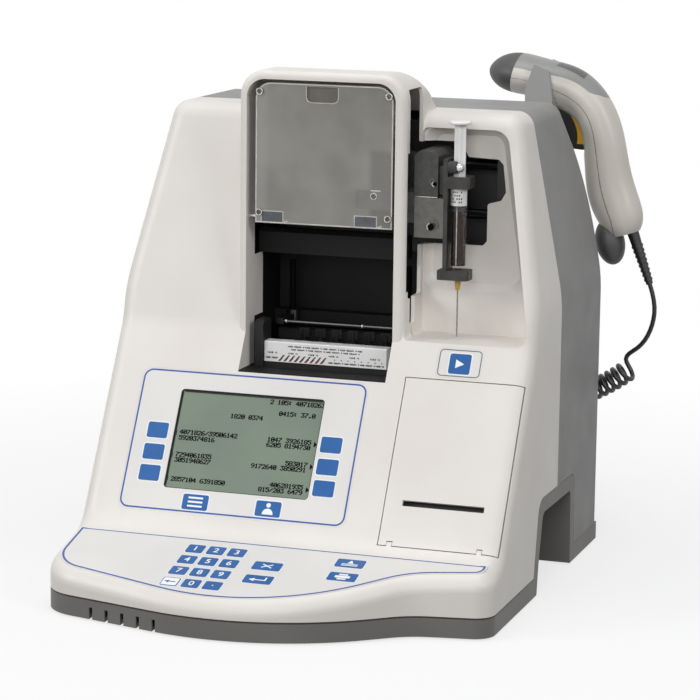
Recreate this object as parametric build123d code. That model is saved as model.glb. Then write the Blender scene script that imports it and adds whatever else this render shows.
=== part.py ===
from build123d import *
import os
from math import sin, cos, tan, radians, sqrt, pi

# Hemostasis analyzer, in millimetres. X runs to the right, Y to the back, Z up.
# The origin lies on the table under the middle of the base.

os.makedirs("parts", exist_ok=True)

# Housing
body_width = 353.0
rear_y = 204.0
wall = 3.0
seam_y = 59.0
seam_gap = 0.4
edge_radius = 14.0
base_height = 16.4
base_step = 5.5
foot_height = 1.5
foot_radius = 9.0
foot_inset = 34.0

# Front outline of the base, seen from above: straight stretches and the radii between them
nose_left = (-130.0, -192.0)
nose_left_angle = -13.6
nose_rise = (97.0, -163.5)
nose_rise_angle = 39.0
nose_right = (152.0, -141.0)
nose_right_angle = 11.0
nose_corner_radius = 38.0
nose_radius = 185.0
nose_hollow_radius = 60.0
nose_end_radius = 17.0

# Side outline: the apron, the sloping console, the steep face above it, the roof and the rear
apron_y = -205.0
apron_z = 32.0
apron_tilt = 14.0
console_foot_y = -140.0
console_tilt = 60.8
knee_s = 237.0
face_tilt = 74.8
roof_y = 23.0
roof_z = 383.0
roof_fall = 0.0
hip_z = 312.0
hip_angle = 52.0
apron_blend = 26.0
knee_blend = 40.0
roof_blend = 16.0
hip_blend = 18.0
rear_blend = 150.0

# Front view: upright sides that lean in above a bend
lean_z = 234.0
lean_angle = 10.95
lean_blend = 160.0

# Tower and its opening
tower_left = -70.5
tower_right = 69.25
tower_front = -26.0
tower_top = 415.0
tower_roof_y = 8.0
tower_corner = 21.0
tower_edge = 5.0
opening_left = -64.0
opening_right = 60.25
opening_bottom = 174.0
opening_top = 408.0
opening_corner = 15.0
rim_depth = 20.0

# Sample bay to the right of the tower
bay_floor = 205.5
bay_top = 370.0
bay_back = 24.0
bay_right_low = body_width / 2 - 13.5
bay_right_high = body_width / 2 - 38.0
bay_flare = 13.0
bay_pocket_depth = 6.0
bay_pocket_bottom = 243.0

# Slot in the tower's right wall, for the dispenser
slot_front = -16.0
slot_back = 18.0
slot_bottom = 237.0
slot_top = 403.0
slot_rebate = 4.5
slot_post = 7.5
slit_half = 2.2
cut_out_low = 276.5
cut_out_high = 359.5
needle_slot_front = -10.0
needle_slot_back = 3.0
needle_slot_bottom = 216.0

# Hand recess in each side of the base
recess_front = -1.0
recess_rear = 107.6
recess_top = 66.0
recess_depth = 62.0
recess_band = 12.5

# Display, keypad and start overlays
overlay_thickness = 0.6
display_left = -144.75
display_right = 47.85
display_low = 78.2
display_high = 197.6
window_left = -108.75
window_right = 13.45
window_low = 98.4
window_high = 181.5
keypad_inset = 8.0
keypad_back_y = -117.0
key_relief = 0.35

# Printer door and printer
door_left = 76.75
door_right = body_width / 2 - 4.5
door_low = 68.0
door_high = 205.0
door_gap = 0.8
door_pin_s = 69.6
door_pin_depth = 0.5
door_pin_radius = 0.6
door_tab_width = 4.0
door_tab_inset = 9.0
paper_slot_left = door_left + 13.9
paper_slot_right = door_right - 15.45
paper_slot_low = 100.7
paper_slot_high = 105.4
paper_width = 58.0
paper_roll_radius = 19.0
platen_radius = 7.0
shaft_radius = 2.0
running_gap = 0.05
platen_place = (103.0, -13.0)
roll_place = (152.0, -30.0)

# Start overlay, over the middle of the printer door
start_middle = (door_left + door_right) / 2 - 6.1
start_left = start_middle - 18.65
start_right = start_middle + 18.65
start_low = door_high + 2.4
start_high = start_low + 25.0

# Shield door of the tower
shield_left = -57.0
shield_right = 58.2
shield_low = 293.0
shield_high = 405.5
shield_front = -24.5
shield_thickness = 3.0
shield_flange = 5.5
shield_rod_y = -18.0
shield_rod_z = 297.5
shield_rod_radius = 1.5

# Dispenser
syringe_x = 106.85
syringe_y = -4.0
needle_tip_z = 207.7
needle_radius = 0.6
hub_low = 245.5
hub_high = 255.5
barrel_low = 262.0
barrel_high = 334.6
barrel_radius = 6.7
barrel_wall = 0.9
flange_z = 377.0
flange_radius = 9.0
arm_front = -13.5
knob_y = -10.9
knob_z = 343.6
knob_radius = 4.8
knob_length = 7.0
rail_y = 46.0
rail_low = 300.0
rail_high = 340.0
rail_radius = 4.0
rail_left = -body_width / 2 + 52.5
rail_right = body_width / 2 - 40.5
carriage_left = 24.0
carriage_right = 96.0
block_left = 70.5
block_low = 285.8
block_high = 354.8

# Cartridge and heat block
cartridge_left = -50.6
cartridge_right = 52.9
cartridge_front = -18.0
cartridge_low = opening_bottom + 5.5
cartridge_high = cartridge_low + 16.5
cartridge_label_depth = 12.5
cartridge_back = 26.0
cartridge_shelf = cartridge_low + 10.5
well_count = 6
well_pitch = 14.0
first_well_x = -27.0
heater_low = opening_bottom - 24.0
heater_cheek_z = opening_bottom + 38.5
heater_front = cartridge_front - 2.0
liner_floor = 1.2
lift_rod_z = cartridge_shelf + 18.8
lift_post_top = cartridge_shelf + 65.0
lift_rod_y = 7.0
lift_post_y = 36.0
lift_post_radius = 2.5
lift_post_places = (-46.0, 54.0)

# Bar-code scanner and its cord
scan_y = 223.0
trigger_width = 14.0
trigger_pivot = (154.0, 367.0)
trigger_pin_radius = 1.5
holder_half = 31.0
holder_side = 3.5
relief_start = Vector(194.8, scan_y, 269.2)
relief_end = Vector(211.8, scan_y, 222.9)
cord_radius = 2.0
coil_radius = 8.0
coil_curls = 13
coil_start = (195.0, 146.5)
coil_end = (126.0, 116.0)
coil_sag = 6.0
coil_y = 223.0
lead_points = [(211.8, 223.0, 222.9), (217.3, 223.0, 207.9), (215.5, 225.0, 187.0), (206.0, 228.0, 168.0),
               (188.9, 231.0, 156.8), (193.0, 231.0, 149.9)]
tail_points = [(126.0, 231.0, 112.0), (125.9, 231.0, 101.0), (108.0, 232.0, 88.0), (84.0, 234.0, 80.0),
               (70.0, 234.0, 87.0), (70.0, 228.0, 96.0), (70.0, 218.0, 96.0)]

# Rear panel
vent_low = 205.0
vent_pitch = 7.0
vent_height = 3.0
vent_half = 45.0
fan_x = -body_width / 2 + 71.5
fan_z = 190.0
fan_radius = 28.0
fan_depth = 15.0
inlet_x = -body_width / 2 + 56.5
inlet_z = 52.0
inlet_width = 27.0
inlet_height = 20.0
switch_x = inlet_x + 35.0
switch_width = 13.0
switch_height = 19.0
port_places = (-30.0, 10.0)
port_width = 31.0
port_height = 12.5
port_z = 52.0
jack_x = 70.0
jack_z = 96.0
jack_radius = 7.0

# Posts and screws that hold the covers and the chassis on the base
post_radius = 5.0
screw_radius = 1.9
screw_top = 11.5
front_posts = [(-90, -160), (20, -160)]
chassis_screws = [(-80, 70), (80, 70)]
rear_posts = [(-80, 187), (80, 187)]

clearance = 0.3


def block(x0, x1, y0, y1, z0, z1):
    """A box given by its sides."""
    return Pos((x0 + x1) / 2, (y0 + y1) / 2, (z0 + z1) / 2) * Box(x1 - x0, y1 - y0, z1 - z0)


def largest(shape):
    """The biggest of the solids in a shape."""
    return shape.solids().sort_by(SortBy.VOLUME)[-1]


def rod(start, end, radius):
    """A round bar between two points."""
    a = Vector(*start)
    b = Vector(*end)
    return extrude(Plane(origin=a, z_dir=b - a) * Circle(radius), amount=(b - a).length)


def together(pieces):
    """Separate solids kept as one group."""
    return Compound(children=[s for p in pieces for s in p.solids()])


console = Plane(origin=(0, console_foot_y, 0), x_dir=(1, 0, 0),
                z_dir=(0, -sin(radians(console_tilt)), cos(radians(console_tilt))))
apron = Plane(origin=(0, apron_y, apron_z), x_dir=(1, 0, 0),
              z_dir=(0, -sin(radians(apron_tilt)), cos(radians(apron_tilt))))


def on_console(x0, x1, s0, s1, n0, n1):
    """A box in the console's own directions: across, up the slope, and out of it."""
    return console.location * block(x0, x1, s0, s1, n0, n1)


# Outlines of the housing. Each is drawn from straight stretches, moved in by the inset.

def stretch(point, angle, inset):
    a = radians(angle)
    return (point[0] + sin(a) * inset, point[1] - cos(a) * inset, cos(a), sin(a))


def meet(a, b):
    d = a[2] * b[3] - a[3] * b[2]
    t = ((b[0] - a[0]) * b[3] - (b[1] - a[1]) * b[2]) / d
    return (a[0] + t * a[2], a[1] + t * a[3])


def side_outline(inset):
    rise = radians(console_tilt)
    knee = (console_foot_y + knee_s * cos(rise), knee_s * sin(rise))
    front = stretch((apron_y, apron_z), apron_tilt, inset)
    slope = stretch((console_foot_y, 0), console_tilt, inset)
    face = stretch(knee, face_tilt, inset)
    roof = stretch((roof_y, roof_z), -roof_fall, inset)
    hip = stretch((rear_y, hip_z), -hip_angle, inset)
    rear = stretch((rear_y, 0), -90, inset)
    out_y = 1.3 * apron_y
    start = (out_y, front[1] + (out_y - front[0]) * tan(radians(apron_tilt)))
    corners = [start, meet(front, slope), meet(slope, face), meet(face, roof),
               meet(roof, hip), meet(hip, rear), (rear_y - inset, -20)]
    radii = [apron_blend + inset, knee_blend - inset, roof_blend - inset,
             hip_blend - inset, rear_blend - inset]
    top = FilletPolyline(*corners, radius=radii)
    return make_face(Curve() + [top, Polyline(top @ 1, (out_y, -20), top @ 0)])


def plan_outline(inset, back):
    half = body_width / 2 - inset
    left = stretch(nose_left, nose_left_angle, -inset)
    rise = stretch(nose_rise, nose_rise_angle, -inset)
    right = stretch(nose_right, nose_right_angle, -inset)
    corners = [(-half, back), meet((-half, 0, 0, 1), left), meet(left, rise),
               meet(rise, right), meet(right, (half, 0, 0, 1)), (half, back)]
    radii = [nose_corner_radius - inset, nose_radius - inset,
             nose_hollow_radius + inset, nose_end_radius - inset]
    line = FilletPolyline(*corners, radius=radii)
    return make_face(Curve() + [line, Line(line @ 1, line @ 0)])


def front_outline(inset):
    half = body_width / 2 - inset
    top = tower_top
    narrow = half - (top - lean_z) * tan(radians(lean_angle))
    right = FilletPolyline((half, -20), (half, lean_z), (narrow, top), radius=lean_blend)
    left = mirror(right, Plane.YZ)
    return make_face(Curve() + [right, Line(right @ 1, left @ 1), left, Line(left @ 0, right @ 0)])


def housing(inset, bottom):
    """The closed form of the housing without its tower, with its edges rounded."""
    body = extrude(Plane.YZ * side_outline(inset), amount=body_width, both=True)
    body &= extrude(plan_outline(inset, rear_y + 20), amount=2 * roof_z, both=True)
    body &= extrude(Plane.XZ * front_outline(inset), amount=2 * rear_y, both=True)
    body -= block(-body_width, body_width, -2 * rear_y, 2 * rear_y, -50, bottom)
    edges = body.edges().filter_by(Axis.X, reverse=True).filter_by(Axis.Y, reverse=True)
    rim = []
    for edge in edges:
        upright = abs(edge.tangent_at(0.5).Z) > 0.999
        if edge.center().Z > bottom + 0.01 and not (upright and edge.center().Y < seam_y):
            rim.append(edge)
    return fillet(rim, edge_radius - inset)


def tower(inset, front, back):
    """The upright box over the cartridge, with rounded top corners and a sloping back."""
    bottom = opening_bottom - wall
    top = tower_top - inset
    width = tower_right - tower_left - 2 * inset
    centre = (tower_left + tower_right) / 2
    face = Pos(centre, (bottom + top) / 2) * Rectangle(width, top - bottom)
    face = fillet(face.vertices().group_by(Axis.Y)[-1], tower_corner - inset)
    form = extrude(Plane.XZ * face, amount=2 * rear_y, both=True)
    side = Polyline((front, bottom), (front, top), (tower_roof_y, top),
                    (back, roof_z - 3 - inset), (back, bottom), close=True)
    return form & extrude(Plane.YZ * make_face(side), amount=body_width, both=True)


def channel(inset):
    """The space of the tower's opening, from in front of the console back to the rim's rear."""
    bottom = opening_bottom + inset
    top = opening_top - inset
    width = opening_right - opening_left - 2 * inset
    centre = (opening_left + opening_right) / 2
    face = Pos(centre, (bottom + top) / 2) * Rectangle(width, top - bottom)
    face = fillet(face.vertices().group_by(Axis.Y)[-1], opening_corner - inset)
    back = tower_front + rim_depth
    return extrude(Plane.XZ.offset(-back) * face, amount=back + 150)


def bay_space(inset):
    """The hollow of the sample bay, flared towards the front."""
    back_y = bay_back - inset
    front_y = tower_front - 30

    def outline(grow):
        return FilletPolyline(
            (tower_right + inset, bay_floor + inset), (bay_right_low + grow - inset, bay_floor + inset),
            (bay_right_high + grow - inset, bay_top + grow - inset), (tower_right + inset, bay_top + grow - inset),
            radius=[4.0, 9.0, 14.0, 4.0], close=True)
    back = Plane.XZ.offset(-back_y) * make_face(outline(0))
    front = Plane.XZ.offset(-front_y) * make_face(outline(bay_flare))
    return loft([back, front])


def bay_pocket():
    """The shallow field in the bay's rear wall, with sloping edges."""
    lean = (bay_right_low - bay_right_high) / (bay_top - bay_floor)

    def outline(grow):
        low = bay_pocket_bottom - grow
        high = bay_top - 2 + grow
        right_low = bay_right_low - (low - bay_floor) * lean - 4 + grow
        right_high = bay_right_low - (high - bay_floor) * lean - 4 + grow
        left = tower_right + 4 - grow
        return FilletPolyline((left, low), (right_low, low), (right_high, high), (left, high),
                              radius=9, close=True)
    deep = Plane.XZ.offset(-(bay_back + bay_pocket_depth)) * make_face(outline(-bay_pocket_depth / 2))
    flush = Plane.XZ.offset(-(bay_back - 0.5)) * make_face(outline(bay_pocket_depth / 2))
    return loft([deep, flush])


def dispenser_slots():
    """Cuts for the slot in the tower wall and the cut-out in the bay's rear wall."""
    x0 = opening_right - 3
    x1 = tower_right + 3
    wide = block(x0, x1, slot_front, slot_back, slot_bottom, slot_top)
    wide = fillet(wide.edges().filter_by(Axis.X), 3)
    rebate = block(tower_right - slot_rebate, x1, tower_front + tower_edge + 0.5, slot_front + 2, slot_bottom + 6, cut_out_high - 6)
    narrow = block(x0, x1, needle_slot_front, needle_slot_back, needle_slot_bottom, slot_bottom + 3)
    slit = block(x0, x1, syringe_y - slit_half, syringe_y + slit_half, bay_floor + 0.4, needle_slot_bottom + 2)
    middle = block(x0 - 3, x1, slot_front, bay_back + 15, cut_out_low, cut_out_high)
    low = cut_out_low
    high = cut_out_high
    outline = FilletPolyline((60, low), (117, low), (120.5, low + 4), (120.5, low + 34), (131.5, low + 37),
                             (135.5, low + 44), (133.0, low + 66), (129.0, low + 70), (104, low + 71),
                             (98, high), (60, high), radius=2.2, close=True)
    rear = extrude(Plane.XZ.offset(-(bay_back - 5)) * make_face(outline), amount=-20)
    return [wide, rebate, narrow, slit, middle, rear]


def slot_post_rib():
    """The rib along the slot's rear edge, which thickens the tower's thin side wall."""
    return block(tower_right - slot_post, tower_right, slot_back, bay_back + wall, bay_floor, slot_top - 10)


def arch_outline(grow):
    """Outline of the hand recess, seen from the side: a leaning front edge and a level top."""
    return FilletPolyline(
        (recess_front - 1.5 - grow, -10), (recess_front + 4.5 - grow, 25.6), (recess_front + 15.5 - grow, recess_top + grow),
        (recess_rear - 4 + grow, recess_top - 1 + grow), (recess_rear + grow, -10),
        radius=[20, 9 + grow / 2, 5 + grow / 2], close=False)


def arch(grow, x0, x1):
    line = arch_outline(grow)
    face = make_face(Curve() + [line, Line(line @ 1, line @ 0)])
    return extrude(Plane.YZ.offset(x0) * face, amount=x1 - x0)


def both_sides(solid):
    return solid + mirror(solid, Plane.YZ)


def hand_arches(grow, depth):
    half = body_width / 2
    return both_sides(arch(grow, half - depth, half + 5))


def door_region(gap):
    """The part of the console that the printer door takes up."""
    return on_console(door_left - gap, door_right + gap, door_low - gap, door_high + gap, -wall - 20, 40)


def door_tabs(side_gap, end_gap):
    """The two hinge tabs that stand up into the door's lower edge."""
    tabs = []
    for centre in (door_left + door_tab_inset, door_right - door_tab_inset - 5):
        tabs.append(on_console(centre - door_tab_width / 2 - side_gap, centre + door_tab_width / 2 + side_gap,
                               door_low - 2, door_pin_s + 1.4 + end_gap, -wall, 40))
    return tabs[0] + tabs[1]


def door_pins(radius, reach):
    pins = []
    for centre in (door_left + door_tab_inset, door_right - door_tab_inset - 5):
        half = door_tab_width / 2 + reach
        pins.append(console.location * rod((centre - half, door_pin_s, -door_pin_depth),
                                           (centre + half, door_pin_s, -door_pin_depth), radius))
    return pins


def panel(x0, x1, s0, s1, radius, n0, n1):
    """A rounded plate lying on the console."""
    sketch = Pos((x0 + x1) / 2, (s0 + s1) / 2) * RectangleRounded(x1 - x0, s1 - s0, radius)
    return extrude(console.offset(n0) * sketch, amount=n1 - n0)


def keypad_field(grow, depth):
    """The keypad overlay's field on the apron, or the recess it lies in."""
    field = extrude(plan_outline(keypad_inset - grow, keypad_back_y + grow), amount=120)
    slab = apron.location * block(-body_width, body_width, -60, 120, -depth, 0)
    return field & slab


# Built once and used by several pieces
shell_out = housing(0, base_height + seam_gap / 2)
shell_in = housing(wall, base_height - 4)
tower_out = tower(0, tower_front, seam_y)
tower_in = tower(wall, tower_front + rim_depth, seam_y + 1)
front_half = block(-body_width, body_width, -2 * rear_y, seam_y - seam_gap / 2, -10, tower_top + 10)


def soften_tower(solid):
    """Rounds the tower's front edge."""
    edges = [e for e in solid.edges().group_by(Axis.Y)[0] if e.center().Z > opening_bottom]
    return fillet(edges, tower_edge)


def white_covers():
    """The three white mouldings in one piece: apron and console, tower, and sample bay."""
    outer = (shell_out + soften_tower(tower_out)) & front_half
    walls = outer - shell_in - tower_in
    rim = tower_out & block(-body_width, body_width, -2 * rear_y, tower_front + rim_depth, 0, tower_top)
    walls += (channel(-wall) + rim) & outer
    walls += bay_space(-wall) & outer
    walls += (bay_pocket_backing() + slot_post_rib()) & outer
    for x, y in front_posts:
        walls += rod((x, y, foot_height + wall + clearance), (x, y, 200), post_radius) & outer
    walls = largest(walls - channel(0) - tower_in - bay_space(0))
    walls -= bay_pocket()
    for cut in dispenser_slots():
        walls -= cut
    for x, y in front_posts:
        walls -= rod((x, y, 0), (x, y, screw_top + 2), screw_radius)
    walls -= door_region(door_gap) - door_tabs(0, 0)
    walls -= hand_arches(recess_band + seam_gap, recess_depth + 10)
    walls -= panel(display_left, display_right, display_low, display_high, 8, -overlay_thickness, 5)
    walls -= panel(window_left - 2, window_right + 2, window_low - 2, window_high + 2, 3, -wall - 5, 5)
    walls -= panel(start_left, start_right, start_low, start_high, 4, -overlay_thickness, 5)
    walls -= keypad_field(0, overlay_thickness)
    for pin in door_pins(door_pin_radius, 0):
        walls -= pin
    walls -= rod((opening_left - 2, shield_rod_y, shield_rod_z), (opening_right + 2, shield_rod_y, shield_rod_z),
                 shield_rod_radius)
    return largest(walls)


def front_cover(covers):
    """White moulded cover with the apron, the console, the left shoulder and the floor of the sample bay."""
    return largest(covers - tower_share() - bay_share())


def tower_cover(covers):
    """White moulded tower with the frame of its opening; it stands on the front cover's sill."""
    return largest(covers & tower_share())


def bay_cover(covers):
    """White moulded walls and roof of the sample bay, with the right shoulder."""
    return largest(covers & bay_share())


def tower_share():
    return block(tower_left, tower_right, 2 * apron_y, 2 * seam_y, opening_bottom, tower_top + 10)


def bay_share():
    return block(tower_right, body_width, 2 * apron_y, 2 * seam_y, bay_floor, tower_top + 10)


def bay_pocket_backing():
    y0 = bay_back + wall - 1
    return block(tower_right - wall, bay_right_low, y0, bay_back + bay_pocket_depth + wall,
                 bay_pocket_bottom - 8, bay_top + 6)


def rear_cover():
    """Grey moulded shell that closes the rear, with its vents and the openings of the rear panel."""
    front = block(-body_width, body_width, -2 * rear_y, seam_y + seam_gap / 2, -10, tower_top + 10)
    walls = (shell_out - front) - shell_in
    for x, y in rear_posts:
        walls += rod((x, y, foot_height + wall + clearance), (x, y, 40), post_radius)
        walls += block(x - post_radius, x + post_radius, y, rear_y - wall / 2, base_height + 2, 40)
        walls -= rod((x, y, 0), (x, y, screw_top + 2), screw_radius)
    walls -= hand_arches(recess_band + seam_gap, recess_depth + 10)
    for i in range(9):
        z = vent_low + i * vent_pitch
        walls -= block(-vent_half, vent_half, rear_y - 2 * wall, rear_y + 5, z, z + vent_height)
    walls -= rod((fan_x, rear_y - 10, fan_z), (fan_x, rear_y + 5, fan_z), fan_radius)
    walls -= block(inlet_x - inlet_width / 2, inlet_x + inlet_width / 2, rear_y - 10, rear_y + 5,
                   inlet_z - inlet_height / 2, inlet_z + inlet_height / 2)
    walls -= block(switch_x - switch_width / 2, switch_x + switch_width / 2, rear_y - 10, rear_y + 5,
                   inlet_z - switch_height / 2, inlet_z + switch_height / 2)
    for x in port_places:
        walls -= block(x - port_width / 2, x + port_width / 2, rear_y - 10, rear_y + 5,
                       port_z - port_height / 2, port_z + port_height / 2)
    walls -= rod((jack_x, rear_y - 10, jack_z), (jack_x, rear_y + 5, jack_z), jack_radius)
    return largest(walls)


def base_tray():
    """Grey base: a shallow tray under the covers, with the two hand recesses moulded in."""
    out = extrude(plan_outline(0, rear_y - base_step), amount=base_height)
    hollow = extrude(Plane.XY.offset(foot_height + wall) * plan_outline(wall, rear_y - base_step - wall),
                     amount=base_height)
    tray = out - hollow - block(-body_width, body_width, -2 * rear_y, 2 * rear_y, -5, foot_height)
    half = body_width / 2
    cup = both_sides(arch(recess_band, half - recess_depth - wall, half))
    cup -= block(-body_width, body_width, -2 * rear_y, 2 * rear_y, -30, foot_height)
    shell = both_sides(arch(recess_band - wall, half - recess_depth, half - wall))
    inner = both_sides(arch(wall, half - recess_depth - wall, half - wall))
    recess = both_sides(arch(0, half - recess_depth, half + 5))
    tray = tray + (cup - (shell - inner)) - recess
    for i in range(5):
        x = -127.5 + i * 14.5
        tray -= block(x - 1.5, x + 1.5, -230, -150, -5, 11)
    for x, y in foot_places():
        tray -= Pos(x, y, 0) * Cylinder(foot_radius + clearance, 2 * (foot_height + 1.2))
    for x, y in screw_places():
        tray -= Pos(x, y, foot_height) * Cylinder(2.2, 2 * wall + 2)
    return largest(tray)


def foot_places():
    x = body_width / 2 - foot_inset
    return [(0, 0), (-x, -142), (x, -112), (-x, rear_y - foot_inset), (x, rear_y - foot_inset)]


def screw_places():
    return front_posts + chassis_screws + rear_posts


def rubber_feet():
    feet = []
    for x, y in foot_places():
        height = foot_height + 1.2
        foot = Pos(x, y, height / 2) * Cylinder(foot_radius, height)
        feet.append(chamfer(foot.edges().group_by(Axis.Z)[0], 0.8))
    return together(feet)


def base_screws():
    screws = []
    for x, y in screw_places():
        head = Pos(x, y, foot_height - 0.4) * Cylinder(3.6, 0.8)
        shank = rod((x, y, foot_height), (x, y, screw_top), screw_radius)
        screws.append(head + shank)
    return together(screws)


def display_overlay():
    sheet = panel(display_left + 0.1, display_right - 0.1, display_low + 0.1, display_high - 0.1, 8,
                  -overlay_thickness, 0)
    return sheet - panel(window_left, window_right, window_low, window_high, 3, -2, 2)


def keypad_overlay():
    return keypad_field(-0.1, overlay_thickness)


def start_overlay():
    return panel(start_left + 0.1, start_right - 0.1, start_low + 0.1, start_high - 0.1, 4, -overlay_thickness, 0)


def membrane_keys():
    """Embossed keys of the three overlays."""
    return together(display_keys() + keypad_keys())


def display_keys():
    """Six keys beside the display, two below it, and the start key."""
    keys = []
    for s in (145.2, 127.0, 109.3):
        keys.append(panel(-131.2, -113.8, s - 6.5, s + 6.5, 1.6, 0, key_relief))
        keys.append(panel(16.3, 33.7, s - 7.1, s + 5.9, 1.6, 0, key_relief))
    keys.append(panel(-89.9, -68.3, 81.9, 94.6, 1.6, 0, key_relief))
    keys.append(panel(-28.0, -7.0, 81.9, 94.6, 1.6, 0, key_relief))
    keys.append(panel(start_left + 10.15, start_right - 9.75, start_low + 3.6, start_high - 4.7, 1.8, 0, key_relief))
    return keys


def keypad_keys():
    """Keys of the apron's keypad: twelve square ones and four wide ones."""
    keys = []
    across = cos(radians(apron_tilt))
    for row in range(4):
        for column in range(3):
            x = -63.6 + 17.3 * column
            y = -134.7 - 17.4 * row
            keys.append(apron_key(x, (y - apron_y) / across, 14.0, 12.5))
    for x, y in ((1.8, -150.4), (2.1, -171.2), (63.7, -134.2), (64.4, -155.0)):
        keys.append(apron_key(x, (y - apron_y) / across, 23.0, 12.5))
    return keys


def apron_key(x, s, width, height):
    sketch = Pos(x, s) * RectangleRounded(width, height, 1.6)
    return extrude(apron * sketch, amount=key_relief)


def lcd_module():
    """Display glass in its metal frame, with the board behind it."""
    glass = panel(window_left - 1.5, window_right + 1.5, window_low - 1.5, window_high + 1.5, 3, -3.2, -1.8)
    frame = panel(window_left - 6, window_right + 6, window_low - 6, window_high + 6, 2, -9.0, -wall - clearance)
    board = panel(window_left - 8, window_right + 8, window_low - 8, window_high + 8, 2, -10.8, -9.0)
    return frame + board + glass


def main_board():
    left = rail_left - 26
    board = block(left, 60, -125, -22, 12, 13.6)
    for x, y in ((left + 4, -121), (56, -121), (left + 4, -26), (56, -26)):
        board += rod((x, y, foot_height + wall), (x, y, 12), 3)
    for x, y, w, d, h in ((-100, -60, 28, 28, 3), (-40, -60, 20, 20, 3), (10, -45, 34, 12, 4),
                          (left + 20, -90, 16, 26, 9), (30, -95, 40, 9, 8), (-60, -100, 44, 8, 9)):
        board += block(x - w / 2, x + w / 2, y - d / 2, y + d / 2, 13.6, 13.6 + h)
    return board


def power_supply():
    left = inlet_x + 20
    top = 58
    box = block(left, 20, 84, rear_y - 36, foot_height + wall, top)
    for i in range(8):
        x = left + 10 + i * 13.5
        box -= block(x, x + 5, 94, rear_y - 46, top - 3, top + 2)
    return box


def power_inlet():
    """Three-pole inlet in the rear panel."""
    body = block(inlet_x - inlet_width / 2 + 0.3, inlet_x + inlet_width / 2 - 0.3, rear_y - 22, rear_y + 1,
                 inlet_z - inlet_height / 2 + 0.3, inlet_z + inlet_height / 2 - 0.3)
    lip = block(inlet_x - inlet_width / 2 - 3, inlet_x + inlet_width / 2 + 3, rear_y, rear_y + 2.4,
                inlet_z - inlet_height / 2 - 3, inlet_z + inlet_height / 2 + 3)
    hollow = block(inlet_x - 11, inlet_x + 11, rear_y - 16, rear_y + 5, inlet_z - 7.5, inlet_z + 7.5)
    inlet = fillet(lip.edges().filter_by(Axis.Y), 3) + body - hollow
    for dx, dz in ((-6.5, -2), (0, 2.5), (6.5, -2)):
        inlet += block(inlet_x + dx - 1, inlet_x + dx + 1, rear_y - 16.5, rear_y - 2, inlet_z + dz - 2, inlet_z + dz + 2)
    return inlet


def switch_frame():
    body = block(switch_x - switch_width / 2 + 0.2, switch_x + switch_width / 2 - 0.2, rear_y - 16, rear_y + 1,
                 inlet_z - switch_height / 2 + 0.2, inlet_z + switch_height / 2 - 0.2)
    lip = block(switch_x - switch_width / 2 - 1.5, switch_x + switch_width / 2 + 1.5, rear_y, rear_y + 1.6,
                inlet_z - switch_height / 2 - 1.5, inlet_z + switch_height / 2 + 1.5)
    well = block(switch_x - 4.9, switch_x + 4.9, rear_y - 12, rear_y + 5, inlet_z - 8, inlet_z + 8)
    pin_hole = rod((switch_x - 6, rear_y - 2, inlet_z), (switch_x + 6, rear_y - 2, inlet_z), 1.05)
    return body + lip - well - pin_hole


def power_switch():
    """Rocker, resting with its lower half pressed in."""
    side = Polyline((rear_y - 7, inlet_z - 6.6), (rear_y + 0.6, inlet_z - 6.6), (rear_y - 0.6, inlet_z),
                    (rear_y + 2.8, inlet_z + 6.6), (rear_y - 7, inlet_z + 6.6), close=True)
    rocker = extrude(Plane.YZ.offset(switch_x - 4.6) * make_face(side), amount=9.2)
    return rocker + rod((switch_x - 5.9, rear_y - 2, inlet_z), (switch_x + 5.9, rear_y - 2, inlet_z), 1.0)


def ports():
    """Two nine-pole serial sockets and the scanner's jack."""
    pieces = []
    for x in port_places:
        plate = block(x - port_width / 2 - 0, x + port_width / 2 + 0, rear_y - 3, rear_y + 0.6,
                      port_z - port_height / 2 + 0.2, port_z + port_height / 2 - 0.2)
        shell = block(x - 8.5, x + 8.5, rear_y - 10, rear_y + 5, port_z - 4, port_z + 4)
        shell = fillet(shell.edges().filter_by(Axis.Y), 3)
        hollow = fillet(block(x - 7.7, x + 7.7, rear_y - 1, rear_y + 6, port_z - 3.2, port_z + 3.2)
                        .edges().filter_by(Axis.Y), 2.4)
        nuts = rod((x - 12.5, rear_y - 6, port_z), (x - 12.5, rear_y + 4, port_z), 2.4)
        nuts += rod((x + 12.5, rear_y - 6, port_z), (x + 12.5, rear_y + 4, port_z), 2.4)
        pieces.append(plate + shell - hollow + nuts)
    jack = rod((jack_x, rear_y - 12, jack_z), (jack_x, rear_y + 1.0, jack_z), jack_radius - 0.1)
    jack -= rod((jack_x, rear_y - 8, jack_z), (jack_x, rear_y + 3, jack_z), 4.6)
    pieces.append(jack)
    return together(pieces)


def fan_frame():
    """Square fan body behind the rear panel, with its finger guard and hub."""
    outer = block(fan_x - 30, fan_x + 30, rear_y - wall - fan_depth, rear_y - wall - 0.2, fan_z - 30, fan_z + 30)
    outer -= rod((fan_x, rear_y - 40, fan_z), (fan_x, rear_y, fan_z), fan_radius)
    y = rear_y - wall - 1.4
    for radius in (9.0, 15.5, 22.0):
        ring = Plane.XZ.offset(-y) * (Pos(fan_x, fan_z) * (Circle(radius + 0.8) - Circle(radius - 0.8)))
        outer += extrude(ring, amount=-1.2)
    outer += block(fan_x - fan_radius - 0.5, fan_x + fan_radius + 0.5, y, y + 1.2, fan_z - 1, fan_z + 1)
    outer += block(fan_x - 1, fan_x + 1, y, y + 1.2, fan_z - fan_radius - 0.5, fan_z + fan_radius + 0.5)
    outer += rod((fan_x, y - 6, fan_z), (fan_x, y + 0.5, fan_z), 1.5)
    return outer


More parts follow.
